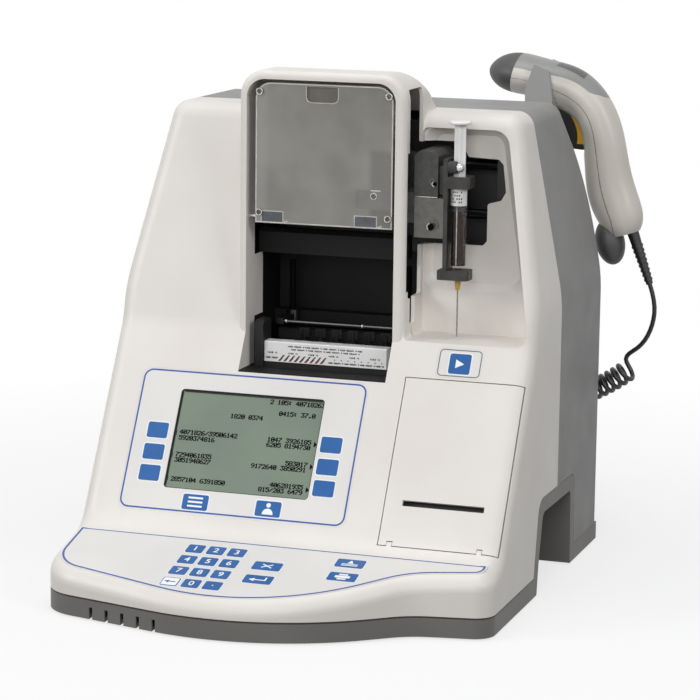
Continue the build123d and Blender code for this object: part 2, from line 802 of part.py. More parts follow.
def fan_rotor():
    """Seven-bladed rotor on the hub pin."""
    y1 = rear_y - wall - 2.0
    y0 = y1 - fan_depth + 3.5
    rotor = rod((fan_x, y0, fan_z), (fan_x, y1, fan_z), 11.5)
    for i in range(7):
        angle = i * 360 / 7
        place = Pos(fan_x, (y0 + y1) / 2, fan_z) * Rot(0, angle, 0) * Pos(18.4, 0, 0) * Rot(55, 0, 0)
        rotor += place * Box(15, 11, 1.2)
    return rotor - rod((fan_x, y1 - 6.2, fan_z), (fan_x, y1 + 1, fan_z), 1.5 + running_gap)


def chassis():
    """Folded sheet frame: an upright plate on the base, with the shelf that carries the heat block."""
    floor = foot_height + wall
    plate = block(-104, 104, 60, 62, floor, 100) + block(rail_left - 6, rail_right + 6, 60, 62, 96, 372)
    plate += block(-104, 104, 62, 78, floor, floor + 2)
    shelf = block(cartridge_left - 8, cartridge_right + 3, -15, 61, heater_low - 2, heater_low)
    legs = block(cartridge_left - 8, cartridge_left - 6, -15, 61, floor, heater_low)
    legs += block(cartridge_right + 1, cartridge_right + 3, -15, 61, floor, heater_low)
    frame = plate + shelf + legs
    for x, y in chassis_screws:
        frame -= rod((x, y, 0), (x, y, screw_top + 2), screw_radius)
    return frame


def rail_brackets():
    """End blocks that hold the two guide rails on the chassis plate."""
    pieces = []
    for x0, x1 in ((rail_left, rail_left + 10), (rail_right - 10, rail_right)):
        piece = block(x0, x1, rail_y - 8, 60, rail_low - 10, rail_high + 10)
        for z in (rail_low, rail_high):
            piece -= rod((x0 - 1, rail_y, z), (x1 + 1, rail_y, z), rail_radius)
        pieces.append(piece)
    return together(pieces)


def guide_rails():
    return together([rod((rail_left, rail_y, z), (rail_right, rail_y, z), rail_radius) for z in (rail_low, rail_high)])


def carriage():
    """Carriage on the two rails, with the arm block that reaches out through the slot."""
    slider = block(carriage_left, carriage_right, rail_y - 9, rail_y + 9, rail_low - 9, rail_high + 9)
    for z in (rail_low, rail_high):
        slider -= rod((carriage_left - 1, rail_y, z), (carriage_right + 1, rail_y, z), rail_radius + running_gap)
    mid = (block_low + block_high) / 2
    lower = block(block_left, carriage_right, -6, rail_y - 8, block_low, mid - 2.6)
    upper = block(block_left, carriage_right - 6, -7, rail_y - 8, mid - 1.0, block_high)
    upper = chamfer(upper.edges().filter_by(Axis.Y).group_by(Axis.Z)[-1], 4)
    tongue = block(block_left + 2, carriage_right - 8, 2, rail_y - 8, mid - 3, mid)
    nose = block(carriage_left, block_left + 1, 13, rail_y - 8, 307, 322)
    guide = block(carriage_right - 7, carriage_right + 1.6, -2, 2, mid, block_high - 12)
    body = slider + lower + upper + tongue + nose + guide
    for x, y, z, r in carriage_screw_places():
        body -= rod((x, y, z), (x, y + 3, z), r)
    return body


def carriage_screw_places():
    return [(block_left + 15, -7, 331.0, 2.6), (block_left + 17, -6, 296.5, 3.4), (42, 13, 314.5, 3.2)]


def carriage_screws():
    """Socket screws in the face of the arm block and of its bracket."""
    pieces = []
    for x, y, z, r in carriage_screw_places():
        head = rod((x, y - 0.8, z), (x, y + 3, z), r)
        pieces.append(head - rod((x, y - 2, z), (x, y + 0.8, z), r * 0.5))
    return together(pieces)


def syringe_arm():
    """Arm with the upper clamp and the foot that hold the syringe."""
    x = syringe_x
    y = syringe_y
    left = carriage_right + clearance
    spine = block(left, left + 3.4, arm_front + 1, 4.8, 254, 340)
    clamp = block(left, x + 10.4, arm_front, 4.8, 318.5, 336)
    clamp = chamfer(clamp.edges().filter_by(Axis.Z).group_by(Axis.X)[-1], 2)
    foot = block(left - 4, x + 10.6, arm_front, 4.2, 254, 261.7)
    foot = fillet(foot.edges().filter_by(Axis.Z).group_by(Axis.X)[-1], 4)
    ear = block(left, left + 3.4, arm_front, 4.8, 336, 350)
    arm = spine + clamp + foot + ear
    arm -= rod((x, y, 300), (x, y, 400), barrel_radius + running_gap)
    arm -= rod((x, y, 250), (x, y, 300), 3.1)
    arm -= block(left - 1, carriage_right + 1.6 + running_gap, -2 - running_gap, 2 + running_gap, 300, 360)
    return arm


def thumb_screw():
    """Knurled clamp screw with its bright ball end."""
    x = carriage_right + clearance + 3.4
    knob = rod((x, knob_y, knob_z), (x + knob_length, knob_y, knob_z), knob_radius)
    knob = chamfer(knob.edges().filter_by(GeomType.CIRCLE), 0.5)
    flute = knob_radius + 0.25
    for i in range(24):
        a = radians(15 * i)
        y = knob_y + flute * cos(a)
        z = knob_z + flute * sin(a)
        knob -= rod((x - 1, y, z), (x + knob_length + 1, y, z), 0.45)
    return knob


def clamp_ball():
    """Bright domed end of the clamp screw."""
    x = carriage_right + clearance + 3.4 + knob_length
    dome = Pos(x + 1.8, knob_y, knob_z) * Sphere(knob_radius - 1)
    return dome & block(x, x + 10, knob_y - 10, knob_y + 10, knob_z - 10, knob_z + 10)


def syringe_barrel():
    x = syringe_x
    y = syringe_y
    barrel = rod((x, y, barrel_low + 2), (x, y, barrel_high + 3), barrel_radius)
    barrel -= rod((x, y, barrel_low + 3), (x, y, barrel_high + 5), barrel_radius - barrel_wall)
    tip = rod((x, y, hub_high - 2), (x, y, barrel_low + 2), 2.2)
    barrel += tip
    barrel += extrude(Plane.XY.offset(barrel_high + 1.6) * Pos(x, y) * Rot(0, 0, 90) * SlotOverall(18.6, 14), amount=1.6)
    barrel -= rod((x, y, barrel_low + 3), (x, y, barrel_high + 5), barrel_radius - barrel_wall)
    return barrel


def blood_sample():
    x = syringe_x
    y = syringe_y
    return rod((x, y, barrel_low + 3.1), (x, y, 308), barrel_radius - barrel_wall - 0.15)


def plunger():
    """Plunger rod with a cross section, thumb flange and rubber seal seat."""
    x = syringe_x
    y = syringe_y
    top = flange_z
    rib = block(x - 4.6, x + 4.6, y - 0.7, y + 0.7, 313.5, top) + block(x - 0.7, x + 0.7, y - 1.9, y + 4.6, 313.5, top)
    rim = rod((x, y, top), (x, y, top + 2.2), flange_radius)
    rim = fillet(rim.edges().filter_by(GeomType.CIRCLE), 0.8)
    disc = rod((x, y, 313.5), (x, y, 315), 5.2)
    return rib + rim + disc


def plunger_seal():
    x = syringe_x
    y = syringe_y
    r = barrel_radius - barrel_wall - running_gap
    seal = rod((x, y, 308.2), (x, y, 313.5), r)
    groove = rod((x, y, 310.2), (x, y, 311.4), r + 1) - rod((x, y, 310), (x, y, 311.6), r - 0.8)
    return seal - groove


def needle_hub():
    x = syringe_x
    y = syringe_y
    hub = Pos(x, y, (hub_low + hub_high) / 2) * Cone(1.7, 2.9, hub_high - hub_low)
    hub -= rod((x, y, hub_high - 2), (x, y, hub_high + 1), 2.2)
    collar = rod((x, y, hub_high - 1.2), (x, y, hub_high), 3.05) - rod((x, y, hub_high - 2), (x, y, hub_high + 1), 2.2)
    hub -= rod((x, y, hub_low - 1), (x, y, hub_low + 4), needle_radius)
    return hub + collar


def needle():
    x = syringe_x
    y = syringe_y
    tube = rod((x, y, needle_tip_z), (x, y, hub_low + 4), needle_radius)
    bevel = Pos(x + 1.2, y, needle_tip_z - 0.4) * Rot(0, 20, 0) * Box(2.2, 3, 6)
    return tube - bevel


def tower_liner():
    """Black inner trim of the cartridge chamber, with its cross beam."""
    front = tower_front + rim_depth + clearance
    x0 = opening_left - 2.5
    x1 = opening_right + 3.75
    top = shield_low - 30
    left = block(x0, x0 + 2, front, 58, heater_low + 1, top)
    back = block(x0, x1, 56, 58, heater_low + 1, top)
    right = block(x1 - 2, x1, front, 58, heater_low + 1, heater_low + 52)
    beam = block(x0, x1 - 4, 10, 24, top + 1, top + 21)
    beam = chamfer(beam.edges().filter_by(Axis.X).group_by(Axis.Z)[-1], 3)
    hanger = block(x0, x0 + 6.5, 22, 58, top - 1, top + 21)
    step = block(x0 + 2, x1 - 2, 44, 56, heater_low + 50, heater_low + 62)
    return left + back + right + beam + hanger + step + chamber_floor(front)


def chamber_floor(front):
    """The liner's black floor on the sill, from the console's edge back past the heat block's sides."""
    z0 = opening_bottom
    z1 = opening_bottom + liner_floor
    left = opening_left + clearance
    right = opening_right - clearance
    near = heater_front - clearance
    plate = block(left, right, console_foot_y, near, z0, z1) & shell_out
    plate += block(left, cartridge_left - 8.2, near - 1, front + 4, z0, z1)
    plate += block(left - 2.8, cartridge_left - 8.2, front, front + 4, z0, z1)
    plate += block(cartridge_right + 4.1, right, near - 1, front + 4, z0, z1)
    plate += block(cartridge_right + 4.1, right + 4, front, front + 4, z0, z1)
    return plate


def heat_block():
    """Black aluminium block with the seat of the cartridge."""
    block_body = block(cartridge_left - 0.4, cartridge_right + 0.4, cartridge_front + 1, cartridge_back + 14,
                       heater_low, cartridge_low - 0.3)
    cheeks = block(cartridge_left - 4.5, cartridge_left - 0.4, cartridge_front + 16, cartridge_back + 14,
                   heater_low, cartridge_shelf)
    cheeks += block(cartridge_right + 0.4, cartridge_right + 3.8, cartridge_front + 16, cartridge_back + 14,
                    heater_low, cartridge_shelf)
    wall_back = block(cartridge_left - 4.5, cartridge_right + 3.8, cartridge_back + 2, cartridge_back + 14,
                      heater_low, cartridge_shelf + 9)
    sill = block(cartridge_left - 1, cartridge_right + 1, cartridge_front - 1, tower_front + rim_depth + clearance,
                 heater_low - 1, opening_bottom + clearance)
    solid = block_body + cheeks + wall_back - sill
    guard = block(cartridge_left - 7.9, cartridge_left - 0.5, heater_front, cartridge_front + 17,
                  opening_bottom + clearance, heater_cheek_z)
    solid += chamfer(guard.edges().filter_by(Axis.X).group_by(Axis.Z)[-1].sort_by(Axis.Y)[:1], 3)
    for x in lift_post_places:
        solid -= rod((x, lift_post_y, cartridge_low), (x, lift_post_y, cartridge_shelf + 20), lift_post_radius)
    return solid


def cartridge():
    """White cartridge: a label block in front and a shelf with the wells behind it."""
    front = block(cartridge_left, cartridge_right, cartridge_front, cartridge_front + cartridge_label_depth,
                  cartridge_low, cartridge_high)
    front = chamfer(front.edges().filter_by(Axis.X).group_by(Axis.Z)[-1], 0.8)
    shelf = block(cartridge_left, cartridge_right, cartridge_front + cartridge_label_depth - 1, cartridge_back,
                  cartridge_low, cartridge_shelf)
    solid = front + shelf
    for i in range(well_count):
        x = first_well_x + i * well_pitch
        solid -= rod((x, syringe_y, cartridge_low + 3), (x, syringe_y, cartridge_high + 5), 4.2)
        solid -= rod((x, 12, cartridge_low + 3), (x, 12, cartridge_high + 5), 4.2)
    return solid


def cartridge_plungers():
    """The stirrer plungers standing in the rear wells, each with its flag."""
    pieces = []
    for i in range(well_count):
        x = first_well_x + i * well_pitch
        stem = rod((x, 12, cartridge_low + 3), (x, 12, cartridge_shelf + 12), 1.8)
        flag = block(x - 4.5, x + 4.5, 11, 13, cartridge_shelf + 6.5, cartridge_shelf + 13.5)
        cap = rod((x, 12, cartridge_shelf + 2), (x, 12, cartridge_shelf + 4.5), 3.6)
        pieces.append(stem + flag + cap)
    return together(pieces)


def lift_posts():
    return together([rod((x, lift_post_y, cartridge_low), (x, lift_post_y, lift_post_top), lift_post_radius)
                     for x in lift_post_places])


def lift_bar():
    """Bright rod that lifts the plungers, carried by two sliders on the posts."""
    z = lift_rod_z
    bar = rod((lift_post_places[0], lift_rod_y, z), (lift_post_places[1], lift_rod_y, z), 0.9)
    for x in lift_post_places:
        arm = block(x - 3, x + 3, lift_rod_y - 1.6, lift_post_y + 5, z - 2.5, z + 2.5)
        slider = rod((x, lift_post_y, z - 5), (x, lift_post_y, z + 5), 5)
        bore = rod((x, lift_post_y, z - 9), (x, lift_post_y, z + 9), lift_post_radius + running_gap)
        bar += arm + slider
        bar -= bore
    return bar


def shield_door():
    """Clear smoked shield: a pane with side flanges, hinge barrels and a finger pocket."""
    pane = block(shield_left, shield_right, shield_front, shield_front + shield_thickness, shield_low, shield_high)
    pane = fillet(pane.edges().filter_by(Axis.Y).group_by(Axis.Z)[-1], 13)
    back = shield_front + shield_thickness
    for x0, x1 in ((shield_left, shield_left + 2), (shield_right - 2, shield_right)):
        pane += block(x0, x1, back - 1, back + shield_flange, shield_low + 10, shield_high - 14)
    for x in (-42.5, 36.0):
        pane -= block(x - 8.5, x + 8.5, shield_front - 1, back + 1, shield_low + 1.5, shield_low + 9)
        barrel = rod((x - 10, shield_rod_y, shield_rod_z), (x + 10, shield_rod_y, shield_rod_z), 3.2)
        lug = block(x - 10, x - 8, shield_front + 1, shield_rod_y, shield_rod_z - 3.2, shield_rod_z + 5)
        lug += block(x + 8, x + 10, shield_front + 1, shield_rod_y, shield_rod_z - 3.2, shield_rod_z + 5)
        pane += barrel + lug
        pane -= rod((x - 12, shield_rod_y, shield_rod_z), (x + 12, shield_rod_y, shield_rod_z),
                    shield_rod_radius + running_gap)
    pocket = block(-14, 12, shield_front - 1, shield_front + 1.6, 391, 403)
    pocket = fillet(pocket.edges().filter_by(Axis.Y).group_by(Axis.Z)[0], 4)
    return pane - pocket


def shield_screws():
    pieces = []
    for x in (shield_left + 3.6, shield_right - 3.6):
        for z in (shield_low + 8.5, shield_high - 7.5):
            head = rod((x, shield_front - 1.2, z), (x, shield_front, z), 3.0)
            head -= rod((x, shield_front - 2, z), (x, shield_front - 0.6, z), 1.3)
            pieces.append(head)
    return together(pieces)


def shield_hinge_rod():
    return rod((opening_left - 2, shield_rod_y, shield_rod_z), (opening_right + 2, shield_rod_y, shield_rod_z),
               shield_rod_radius)


def printer_door():
    """Door over the printer, cut from the console with its rounded right edge and paper slot."""
    door = (shell_out - shell_in) & door_region(0)
    door -= on_console(paper_slot_left, paper_slot_right, paper_slot_low, paper_slot_high, -20, 40)
    door -= door_tabs(0.4, 0.8)
    for pin in door_pins(door_pin_radius + running_gap, 4.2):
        door -= pin
    return door.solids().sort_by(SortBy.VOLUME)[-1]


def door_hinge_pins():
    return together(door_pins(door_pin_radius, 4.0))


def printer_frame():
    """Printer chassis behind the door: two cheeks, a floor and the print head."""
    s0 = 80.0
    s1 = 198.0
    left = on_console(door_left + 5, door_left + 7, s0, s1, -54, -8)
    right = on_console(door_right - 12, door_right - 10, s0, s1, -54, -8)
    floor = on_console(door_left + 5, door_right - 10, s0, s1, -56, -54)
    foot = on_console(door_left + 5, door_right - 10, s0, s0 + 2, -56, -8)
    head = on_console(door_left + 7, door_right - 12, 84, 90, -40, -12)
    frame = left + right + floor + foot + head
    for s, n, r in (platen_place + (shaft_radius + running_gap,), roll_place + (3 + running_gap,)):
        frame -= console.location * rod((door_left, s, n), (door_right, s, n), r)
    for x in (door_left + 12, door_right - 20):
        y0 = console_foot_y + s0 * cos(radians(console_tilt)) + 56 * sin(radians(console_tilt))
        frame += block(x, x + 6, y0 - 8, y0 + 4, foot_height + wall, 48)
    return frame


def platen_roller():
    s, n = platen_place
    left = door_left + 5
    right = door_right - 10
    core = rod((left - 1, s, n), (right + 1, s, n), shaft_radius)
    rubber = rod((left + 6, s, n), (right - 6, s, n), platen_radius)
    return console.location * (core + rubber)


def paper_roll():
    s, n = roll_place
    middle = (door_left + door_right - 5) / 2
    paper = rod((middle - paper_width / 2, s, n), (middle + paper_width / 2, s, n), paper_roll_radius)
    spindle = rod((door_left + 4.5, s, n), (door_right - 9.5, s, n), 3)
    return console.location * (paper + spindle)


def scanner_sections():
    """Middle of each section, its half height, half thickness and heading, from the nose to the handle's end."""
    return [((66.0, 400.2), 1.5, 2.0, 90), ((68.0, 400.1), 6.0, 8.0, 90), ((75.0, 399.8), 12.5, 17.0, 89),
            ((84.0, 399.6), 16.2, 23.0, 88), ((96.0, 398.6), 17.5, 26.0, 86), ((110.6, 395.8), 17.3, 25.0, 84),
            ((125.1, 391.4), 18.6, 22.0, 72), ((142.4, 384.2), 19.2, 19.0, 57), ((157.4, 370.6), 17.8, 17.0, 38),
            ((170.0, 331.0), 19.0, 16.5, 17), ((178.3, 294.4), 21.0, 16.5, 17), ((186.2, 275.6), 18.5, 16.0, 17),
            ((189.5, 265.0), 12.5, 12.0, 17)]


def scanner_form():
    faces = []
    for (x, z), high, thick, turn in scanner_sections():
        a = radians(turn)
        plane = Plane(origin=(x, scan_y, z), x_dir=(0, 1, 0), z_dir=(sin(a), 0, -cos(a)))
        faces.append(plane * Ellipse(thick, high))
    return loft(faces)


nose_cut = Plane(origin=(92.0, scan_y, 400.0), z_dir=(-0.974, 0, 0.227))
window_place = Plane(origin=(76.5, scan_y + 13.5, 400), x_dir=(0.77, 0.64, 0), z_dir=(-0.64, 0.77, 0))


def scanner_nose(form):
    """Dark rubber hood around the reading window."""
    nose = largest(split(form, bisect_by=nose_cut, keep=Keep.TOP))
    return nose - window_place.location * Pos(0, 0, 6) * Box(22, 13, 16)


def scanner_window():
    return window_place.location * Pos(0, 0, -1) * Box(22, 13, 2)


def scanner_body(form):
    """Handle and head in one shell, with the trigger's pocket and the seat of the cord sleeve."""
    body = largest(split(form, bisect_by=nose_cut, keep=Keep.BOTTOM))
    pocket = FilletPolyline((128, 377), (134, 333), (161.5, 333), (163, 377), radius=2, close=True)
    half = trigger_width / 2 + clearance
    body -= extrude(Plane.XZ.offset(-(scan_y - half)) * make_face(pocket), amount=-2 * half)
    body -= trigger_pin()
    body -= relief_cone()
    return largest(body)


def scanner_trigger():
    """Finger trigger hung on a pin inside the handle."""
    line = FilletPolyline((129.8, 371), (133.6, 352), (140.5, 337), (154, 336), (158.5, 371), radius=[2, 9, 3, 3, 3],
                          close=True)
    half = trigger_width / 2
    lever = extrude(Plane.XZ.offset(-(scan_y - half)) * make_face(line), amount=-2 * half)
    x, z = trigger_pivot
    return lever - rod((x, scan_y - 20, z), (x, scan_y + 20, z), trigger_pin_radius + running_gap)


def trigger_pin():
    x, z = trigger_pivot
    reach = trigger_width / 2 + 4
    return rod((x, scan_y - reach, z), (x, scan_y + reach, z), trigger_pin_radius)


def scanner_bumper(form):
    """Rubber foot at the lower end of the handle."""
    ball = Pos(176.0, scan_y, 257.5) * Rot(0, -14, 0) * scale(Sphere(1), by=(12.5, 14.5, 20))
    return largest(ball - form)


def scanner_holder(form):
    """Saddle on the rear cover that carries the scanner's neck."""
    shape = FilletPolyline((105.8, 362), (105.6, 389), (113, 410), (126.2, 404.4), (129.4, 381), (129.8, 362),
                           radius=2.0, close=True)
    inside = holder_half - holder_side
    saddle = extrude(Plane.XZ.offset(-(scan_y - holder_half)) * make_face(shape), amount=-2 * holder_half)
    saddle -= block(90, 140, scan_y - inside, scan_y + inside, 381, 420)
    saddle -= form.moved(Pos(0, 0, -clearance))
    arm = block(107, 128, 130, scan_y - 20, 350, 369)
    return largest(saddle + arm - shell_out)


def relief_cone():
    length = (relief_end - relief_start).length
    plane = Plane(origin=relief_start, z_dir=relief_end - relief_start)
    return plane.location * (Pos(0, 0, length / 2) * Cone(5.2, 3.0, length))


def strain_relief():
    """Tapered ribbed sleeve where the cord leaves the handle."""
    sleeve = relief_cone()
    length = (relief_end - relief_start).length
    plane = Plane(origin=relief_start, z_dir=relief_end - relief_start)
    for i in range(8):
        at = 15 + i * 4.3
        sleeve += plane.location * (Pos(0, 0, at) * Cylinder(5.8 - 2.2 * at / length, 2.0))
    return sleeve


# Cord: a short lead, a curly stretch that sags under its own weight, and a tail to the plug

def largest_radii(points):
    """Radius of each bend: 0.45 of the shorter run, divided by the tangent of half the turn."""
    radii = []
    for before, at, after in zip(points, points[1:], points[2:]):
        a = Vector(*at) - Vector(*before)
        b = Vector(*after) - Vector(*at)
        turn = radians(a.get_angle(b))
        radii.append(0.45 * min(a.length, b.length) / tan(turn / 2))
    return radii


def tube(points, radius):
    radii = largest_radii(points)
    print("bend radii", [round(r, 1) for r in radii])
    path = FilletPolyline(*points, radius=radii)
    start = Plane(origin=path @ 0, z_dir=path % 0)
    solid = sweep(start * Circle(radius), path=path)
    print("tube volume", round(solid.volume, 1), "section times length", round(pi * radius ** 2 * path.length, 1))
    return solid


def coil_axis(t):
    """Point on the sagging middle line of the curls, at the share t of its span."""
    x = coil_start[0] + t * (coil_end[0] - coil_start[0])
    z = coil_start[1] + t * (coil_end[1] - coil_start[1]) - 4 * coil_sag * t * (1 - t)
    return Vector(x, coil_y, z)


def coil_point(t):
    """Point on the curls: the middle line plus one radius, turned once per curl."""
    along = (coil_axis(t + 0.001) - coil_axis(t - 0.001)).normalized()
    side = Vector(0, 1, 0)
    across = along.cross(side)
    angle = 2 * pi * coil_curls * t
    return coil_axis(t) + side * (coil_radius * cos(angle)) + across * (coil_radius * sin(angle))


def coil_direction(t):
    return (coil_point(t + 0.0001) - coil_point(t - 0.0001)).normalized()


def biarc(p0, d0, p1, d1):
    """Two arcs that meet smoothly and join two points with given directions."""
    v = p1 - p0
    b = v.dot(d0 + d1)
    a = 2 * (1 - d0.dot(d1))
    reach = (-b + sqrt(b * b + a * v.dot(v))) / a
    joint = (p0 + p1 + (d0 - d1) * reach) * 0.5
    first = TangentArc(p0, joint, tangent=d0)
    return [first, TangentArc(joint, p1, tangent=first % 1)]


def cord_coil():
    """The curls as one unbroken tube, with a straight end of one tube diameter at either side."""
    steps = 2 * coil_curls
    places = [coil_point(i / steps) for i in range(steps + 1)]
    headings = [coil_direction(i / steps) for i in range(steps + 1)]
    lines = [Line(places[0] - headings[0] * 2 * cord_radius, places[0])]
    for i in range(steps):
        lines += biarc(places[i], headings[i], places[i + 1], headings[i + 1])
    lines.append(Line(places[-1], places[-1] + headings[-1] * 2 * cord_radius))
    path = Wire(lines)
    print("coil from", lines[0] @ 0, "to", lines[-1] @ 1, "headings", headings[0], headings[-1])
    points = [coil_point(i / (24 * coil_curls)) for i in range(24 * coil_curls + 1)]
    least = min((points[i] - points[j]).length for i in range(len(points)) for j in range(i + 14, min(i + 40, len(points))))
    print("least gap of the curls", round(least - 2 * cord_radius, 2), "length", round(path.length, 1))
    start = Plane(origin=path @ 0, z_dir=path % 0)
    solid = sweep(start * Circle(cord_radius), path=path)
    print("coil volume", round(solid.volume, 1), "section times length", round(pi * cord_radius ** 2 * path.length, 1))
    return solid


def cord_lead():
    return tube(lead_points, cord_radius)


def cord_tail():
    return tube(tail_points, cord_radius)


def cord_plug():
    """Round plug in the scanner's jack."""
    plug = rod((jack_x, rear_y - 6, jack_z), (jack_x, rear_y + 1.2, jack_z), 4.5)
    plug += rod((jack_x, rear_y + 1.2, jack_z), (jack_x, rear_y + 14, jack_z), 6.0)
    return plug


def build():
    form = scanner_form()
    covers = white_covers()
    nodes = {
        "base_tray": base_tray(), "front_cover": front_cover(covers), "tower_cover": tower_cover(covers),
        "bay_cover": bay_cover(covers), "rear_cover": rear_cover(),
        "rubber_feet": rubber_feet(), "base_screws": base_screws(),
        "display_overlay": display_overlay(), "keypad_overlay": keypad_overlay(), "start_overlay": start_overlay(),
        "membrane_keys": membrane_keys(), "lcd_module": lcd_module(),
        "main_board": main_board(), "power_supply": power_supply(), "power_inlet": power_inlet(),
        "switch_frame": switch_frame(), "power_switch": power_switch(), "ports": ports(),
        "fan_frame": fan_frame(), "fan_rotor": fan_rotor(), "chassis": chassis(),
        "rail_brackets": rail_brackets(), "guide_rails": guide_rails(), "carriage": carriage(),
        "carriage_screws": carriage_screws(), "syringe_arm": syringe_arm(), "thumb_screw": thumb_screw(),
        "clamp_ball": clamp_ball(), "syringe_barrel": syringe_barrel(), "blood_sample": blood_sample(),
        "plunger": plunger(), "plunger_seal": plunger_seal(), "needle_hub": needle_hub(), "needle": needle(),
        "tower_liner": tower_liner(), "heat_block": heat_block(), "cartridge": cartridge(),
        "cartridge_plungers": cartridge_plungers(), "lift_posts": lift_posts(), "lift_bar": lift_bar(),
        "shield_door": shield_door(), "shield_screws": shield_screws(), "shield_hinge_rod": shield_hinge_rod(),
        "printer_door": printer_door(), "door_hinge_pins": door_hinge_pins(), "printer_frame": printer_frame(),
        "platen_roller": platen_roller(), "paper_roll": paper_roll(),
        "scanner_body": scanner_body(form), "scanner_nose": scanner_nose(form), "scanner_window": scanner_window(),
        "scanner_trigger": scanner_trigger(), "trigger_pin": trigger_pin(), "scanner_bumper": scanner_bumper(form),
        "scanner_holder": scanner_holder(form), "strain_relief": strain_relief(),
        "cord_lead": cord_lead(), "cord_coil": cord_coil(), "cord_tail": cord_tail(), "cord_plug": cord_plug(),
    }
    for name, solid in nodes.items():
        export_step(solid, "parts/" + name + ".step")
    print(len(nodes), "nodes written")


build()
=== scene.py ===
import math

import bmesh
import bpy
from mathutils import Matrix, Vector


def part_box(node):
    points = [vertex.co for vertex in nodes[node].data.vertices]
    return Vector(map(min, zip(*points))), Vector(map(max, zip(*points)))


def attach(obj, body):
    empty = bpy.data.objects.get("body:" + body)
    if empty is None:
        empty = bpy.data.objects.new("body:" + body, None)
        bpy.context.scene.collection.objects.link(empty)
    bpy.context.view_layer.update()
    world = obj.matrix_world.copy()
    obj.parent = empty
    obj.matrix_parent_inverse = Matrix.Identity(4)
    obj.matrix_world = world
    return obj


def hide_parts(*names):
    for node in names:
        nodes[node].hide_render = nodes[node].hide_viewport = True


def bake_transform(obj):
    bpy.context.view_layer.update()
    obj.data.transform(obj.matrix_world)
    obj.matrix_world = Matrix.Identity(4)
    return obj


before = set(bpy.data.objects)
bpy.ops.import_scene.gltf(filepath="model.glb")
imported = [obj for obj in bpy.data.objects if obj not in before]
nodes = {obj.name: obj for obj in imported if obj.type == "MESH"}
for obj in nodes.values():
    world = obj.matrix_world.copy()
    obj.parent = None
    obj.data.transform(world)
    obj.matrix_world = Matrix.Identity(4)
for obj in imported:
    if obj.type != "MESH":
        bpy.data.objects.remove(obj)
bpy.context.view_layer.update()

# Camera
# A long lens from the front right and a little above, as in the photograph, solved from the
# housing's edges. The eye's place is in millimetres, the turn, pitch and small roll in degrees.

MM = 0.001
eye = Vector((722.75, -2106.5, 602.1)) * MM
turn = math.radians(18.54)
pitch = math.radians(10.51)
roll = math.radians(-0.69)
look = Vector((-math.sin(turn) * math.cos(pitch), math.cos(turn) * math.cos(pitch), -math.sin(pitch)))
level_right = Vector((math.cos(turn), math.sin(turn), 0))
level_down = look.cross(level_right)
right = level_right * math.cos(roll) + level_down * math.sin(roll)
up = right.cross(look)
camera_data = bpy.data.cameras.new("camera")
camera_data.sensor_width = 36
camera_data.lens = 144
camera = bpy.data.objects.new("camera", camera_data)
camera.matrix_world = Matrix((
    (right.x, up.x, -look.x, eye.x),
    (right.y, up.y, -look.y, eye.y),
    (right.z, up.z, -look.z, eye.z),
    (0, 0, 0, 1)))
camera_data.clip_start = 0.1
camera_data.clip_end = 100
bpy.context.scene.collection.objects.link(camera)
bpy.context.scene.camera = camera
bpy.context.scene.view_settings.view_transform = "Standard"

# Cord
# The scanner's black curly cord, 4 mm of soft PVC wound on a mandrel. It drops out of the sleeve,
# runs into its curls, which sag a little, and ends in a round plug in the rear panel.

CORD_THICKNESS = 4.0 * MM
lead_points = [(211.8, 223.0, 222.9), (217.3, 223.0, 207.9), (215.5, 225.0, 187.0),
               (206.0, 228.0, 168.0), (188.9, 231.0, 156.8)]
tail_points = [(125.9, 231.0, 101.0), (108.0, 232.0, 88.0), (84.0, 234.0, 80.0),
               (70.0, 234.0, 87.0), (70.0, 228.0, 96.0), (70.0, 218.0, 96.0)]
curl_axis_points = [(195.0, 223.0, 146.5), (160.5, 223.0, 119.25), (126.0, 223.0, 116.0)]
curl_radius = 8.0 * MM
curls = 13
points_per_curl = 14


def spline_of(name, points, thickness):
    """A smooth curve with the points as its control points."""
    data = bpy.data.curves.new(name, "CURVE")
    data.dimensions = "3D"
    spline = data.splines.new("NURBS")
    spline.points.add(len(points) - 1)
    for place, point in zip(spline.points, points):
        place.co = (*point, 1)
    spline.order_u = 3
    spline.use_endpoint_u = True
    spline.resolution_u = 4
    data.bevel_depth = thickness / 2
    data.bevel_resolution = 4
    data.use_fill_caps = True
    made = bpy.data.objects.new(name, data)
    bpy.context.scene.collection.objects.link(made)
    return made


def in_metres(points):
    """Points given in millimetres, as vectors in metres."""
    return [Vector(p) * MM for p in points]


def points_on(curve):
    """The points along a curve that has no thickness; the curve itself isn't kept."""
    read = bpy.data.meshes.new_from_object(curve)
    points = [v.co.copy() for v in read.vertices]
    bpy.data.meshes.remove(read)
    bpy.data.objects.remove(curve)
    return points


axis_curve = spline_of("curl_axis", in_metres(curl_axis_points), 0)
axis_curve.data.splines[0].resolution_u = 60
axis_line = points_on(axis_curve)


def along_axis(share):
    """Point and direction of the curls' middle line at a share of its span."""
    place = share * (len(axis_line) - 1)
    i = min(int(place), len(axis_line) - 2)
    start, end = axis_line[i], axis_line[i + 1]
    return start.lerp(end, place - i), (end - start).normalized()


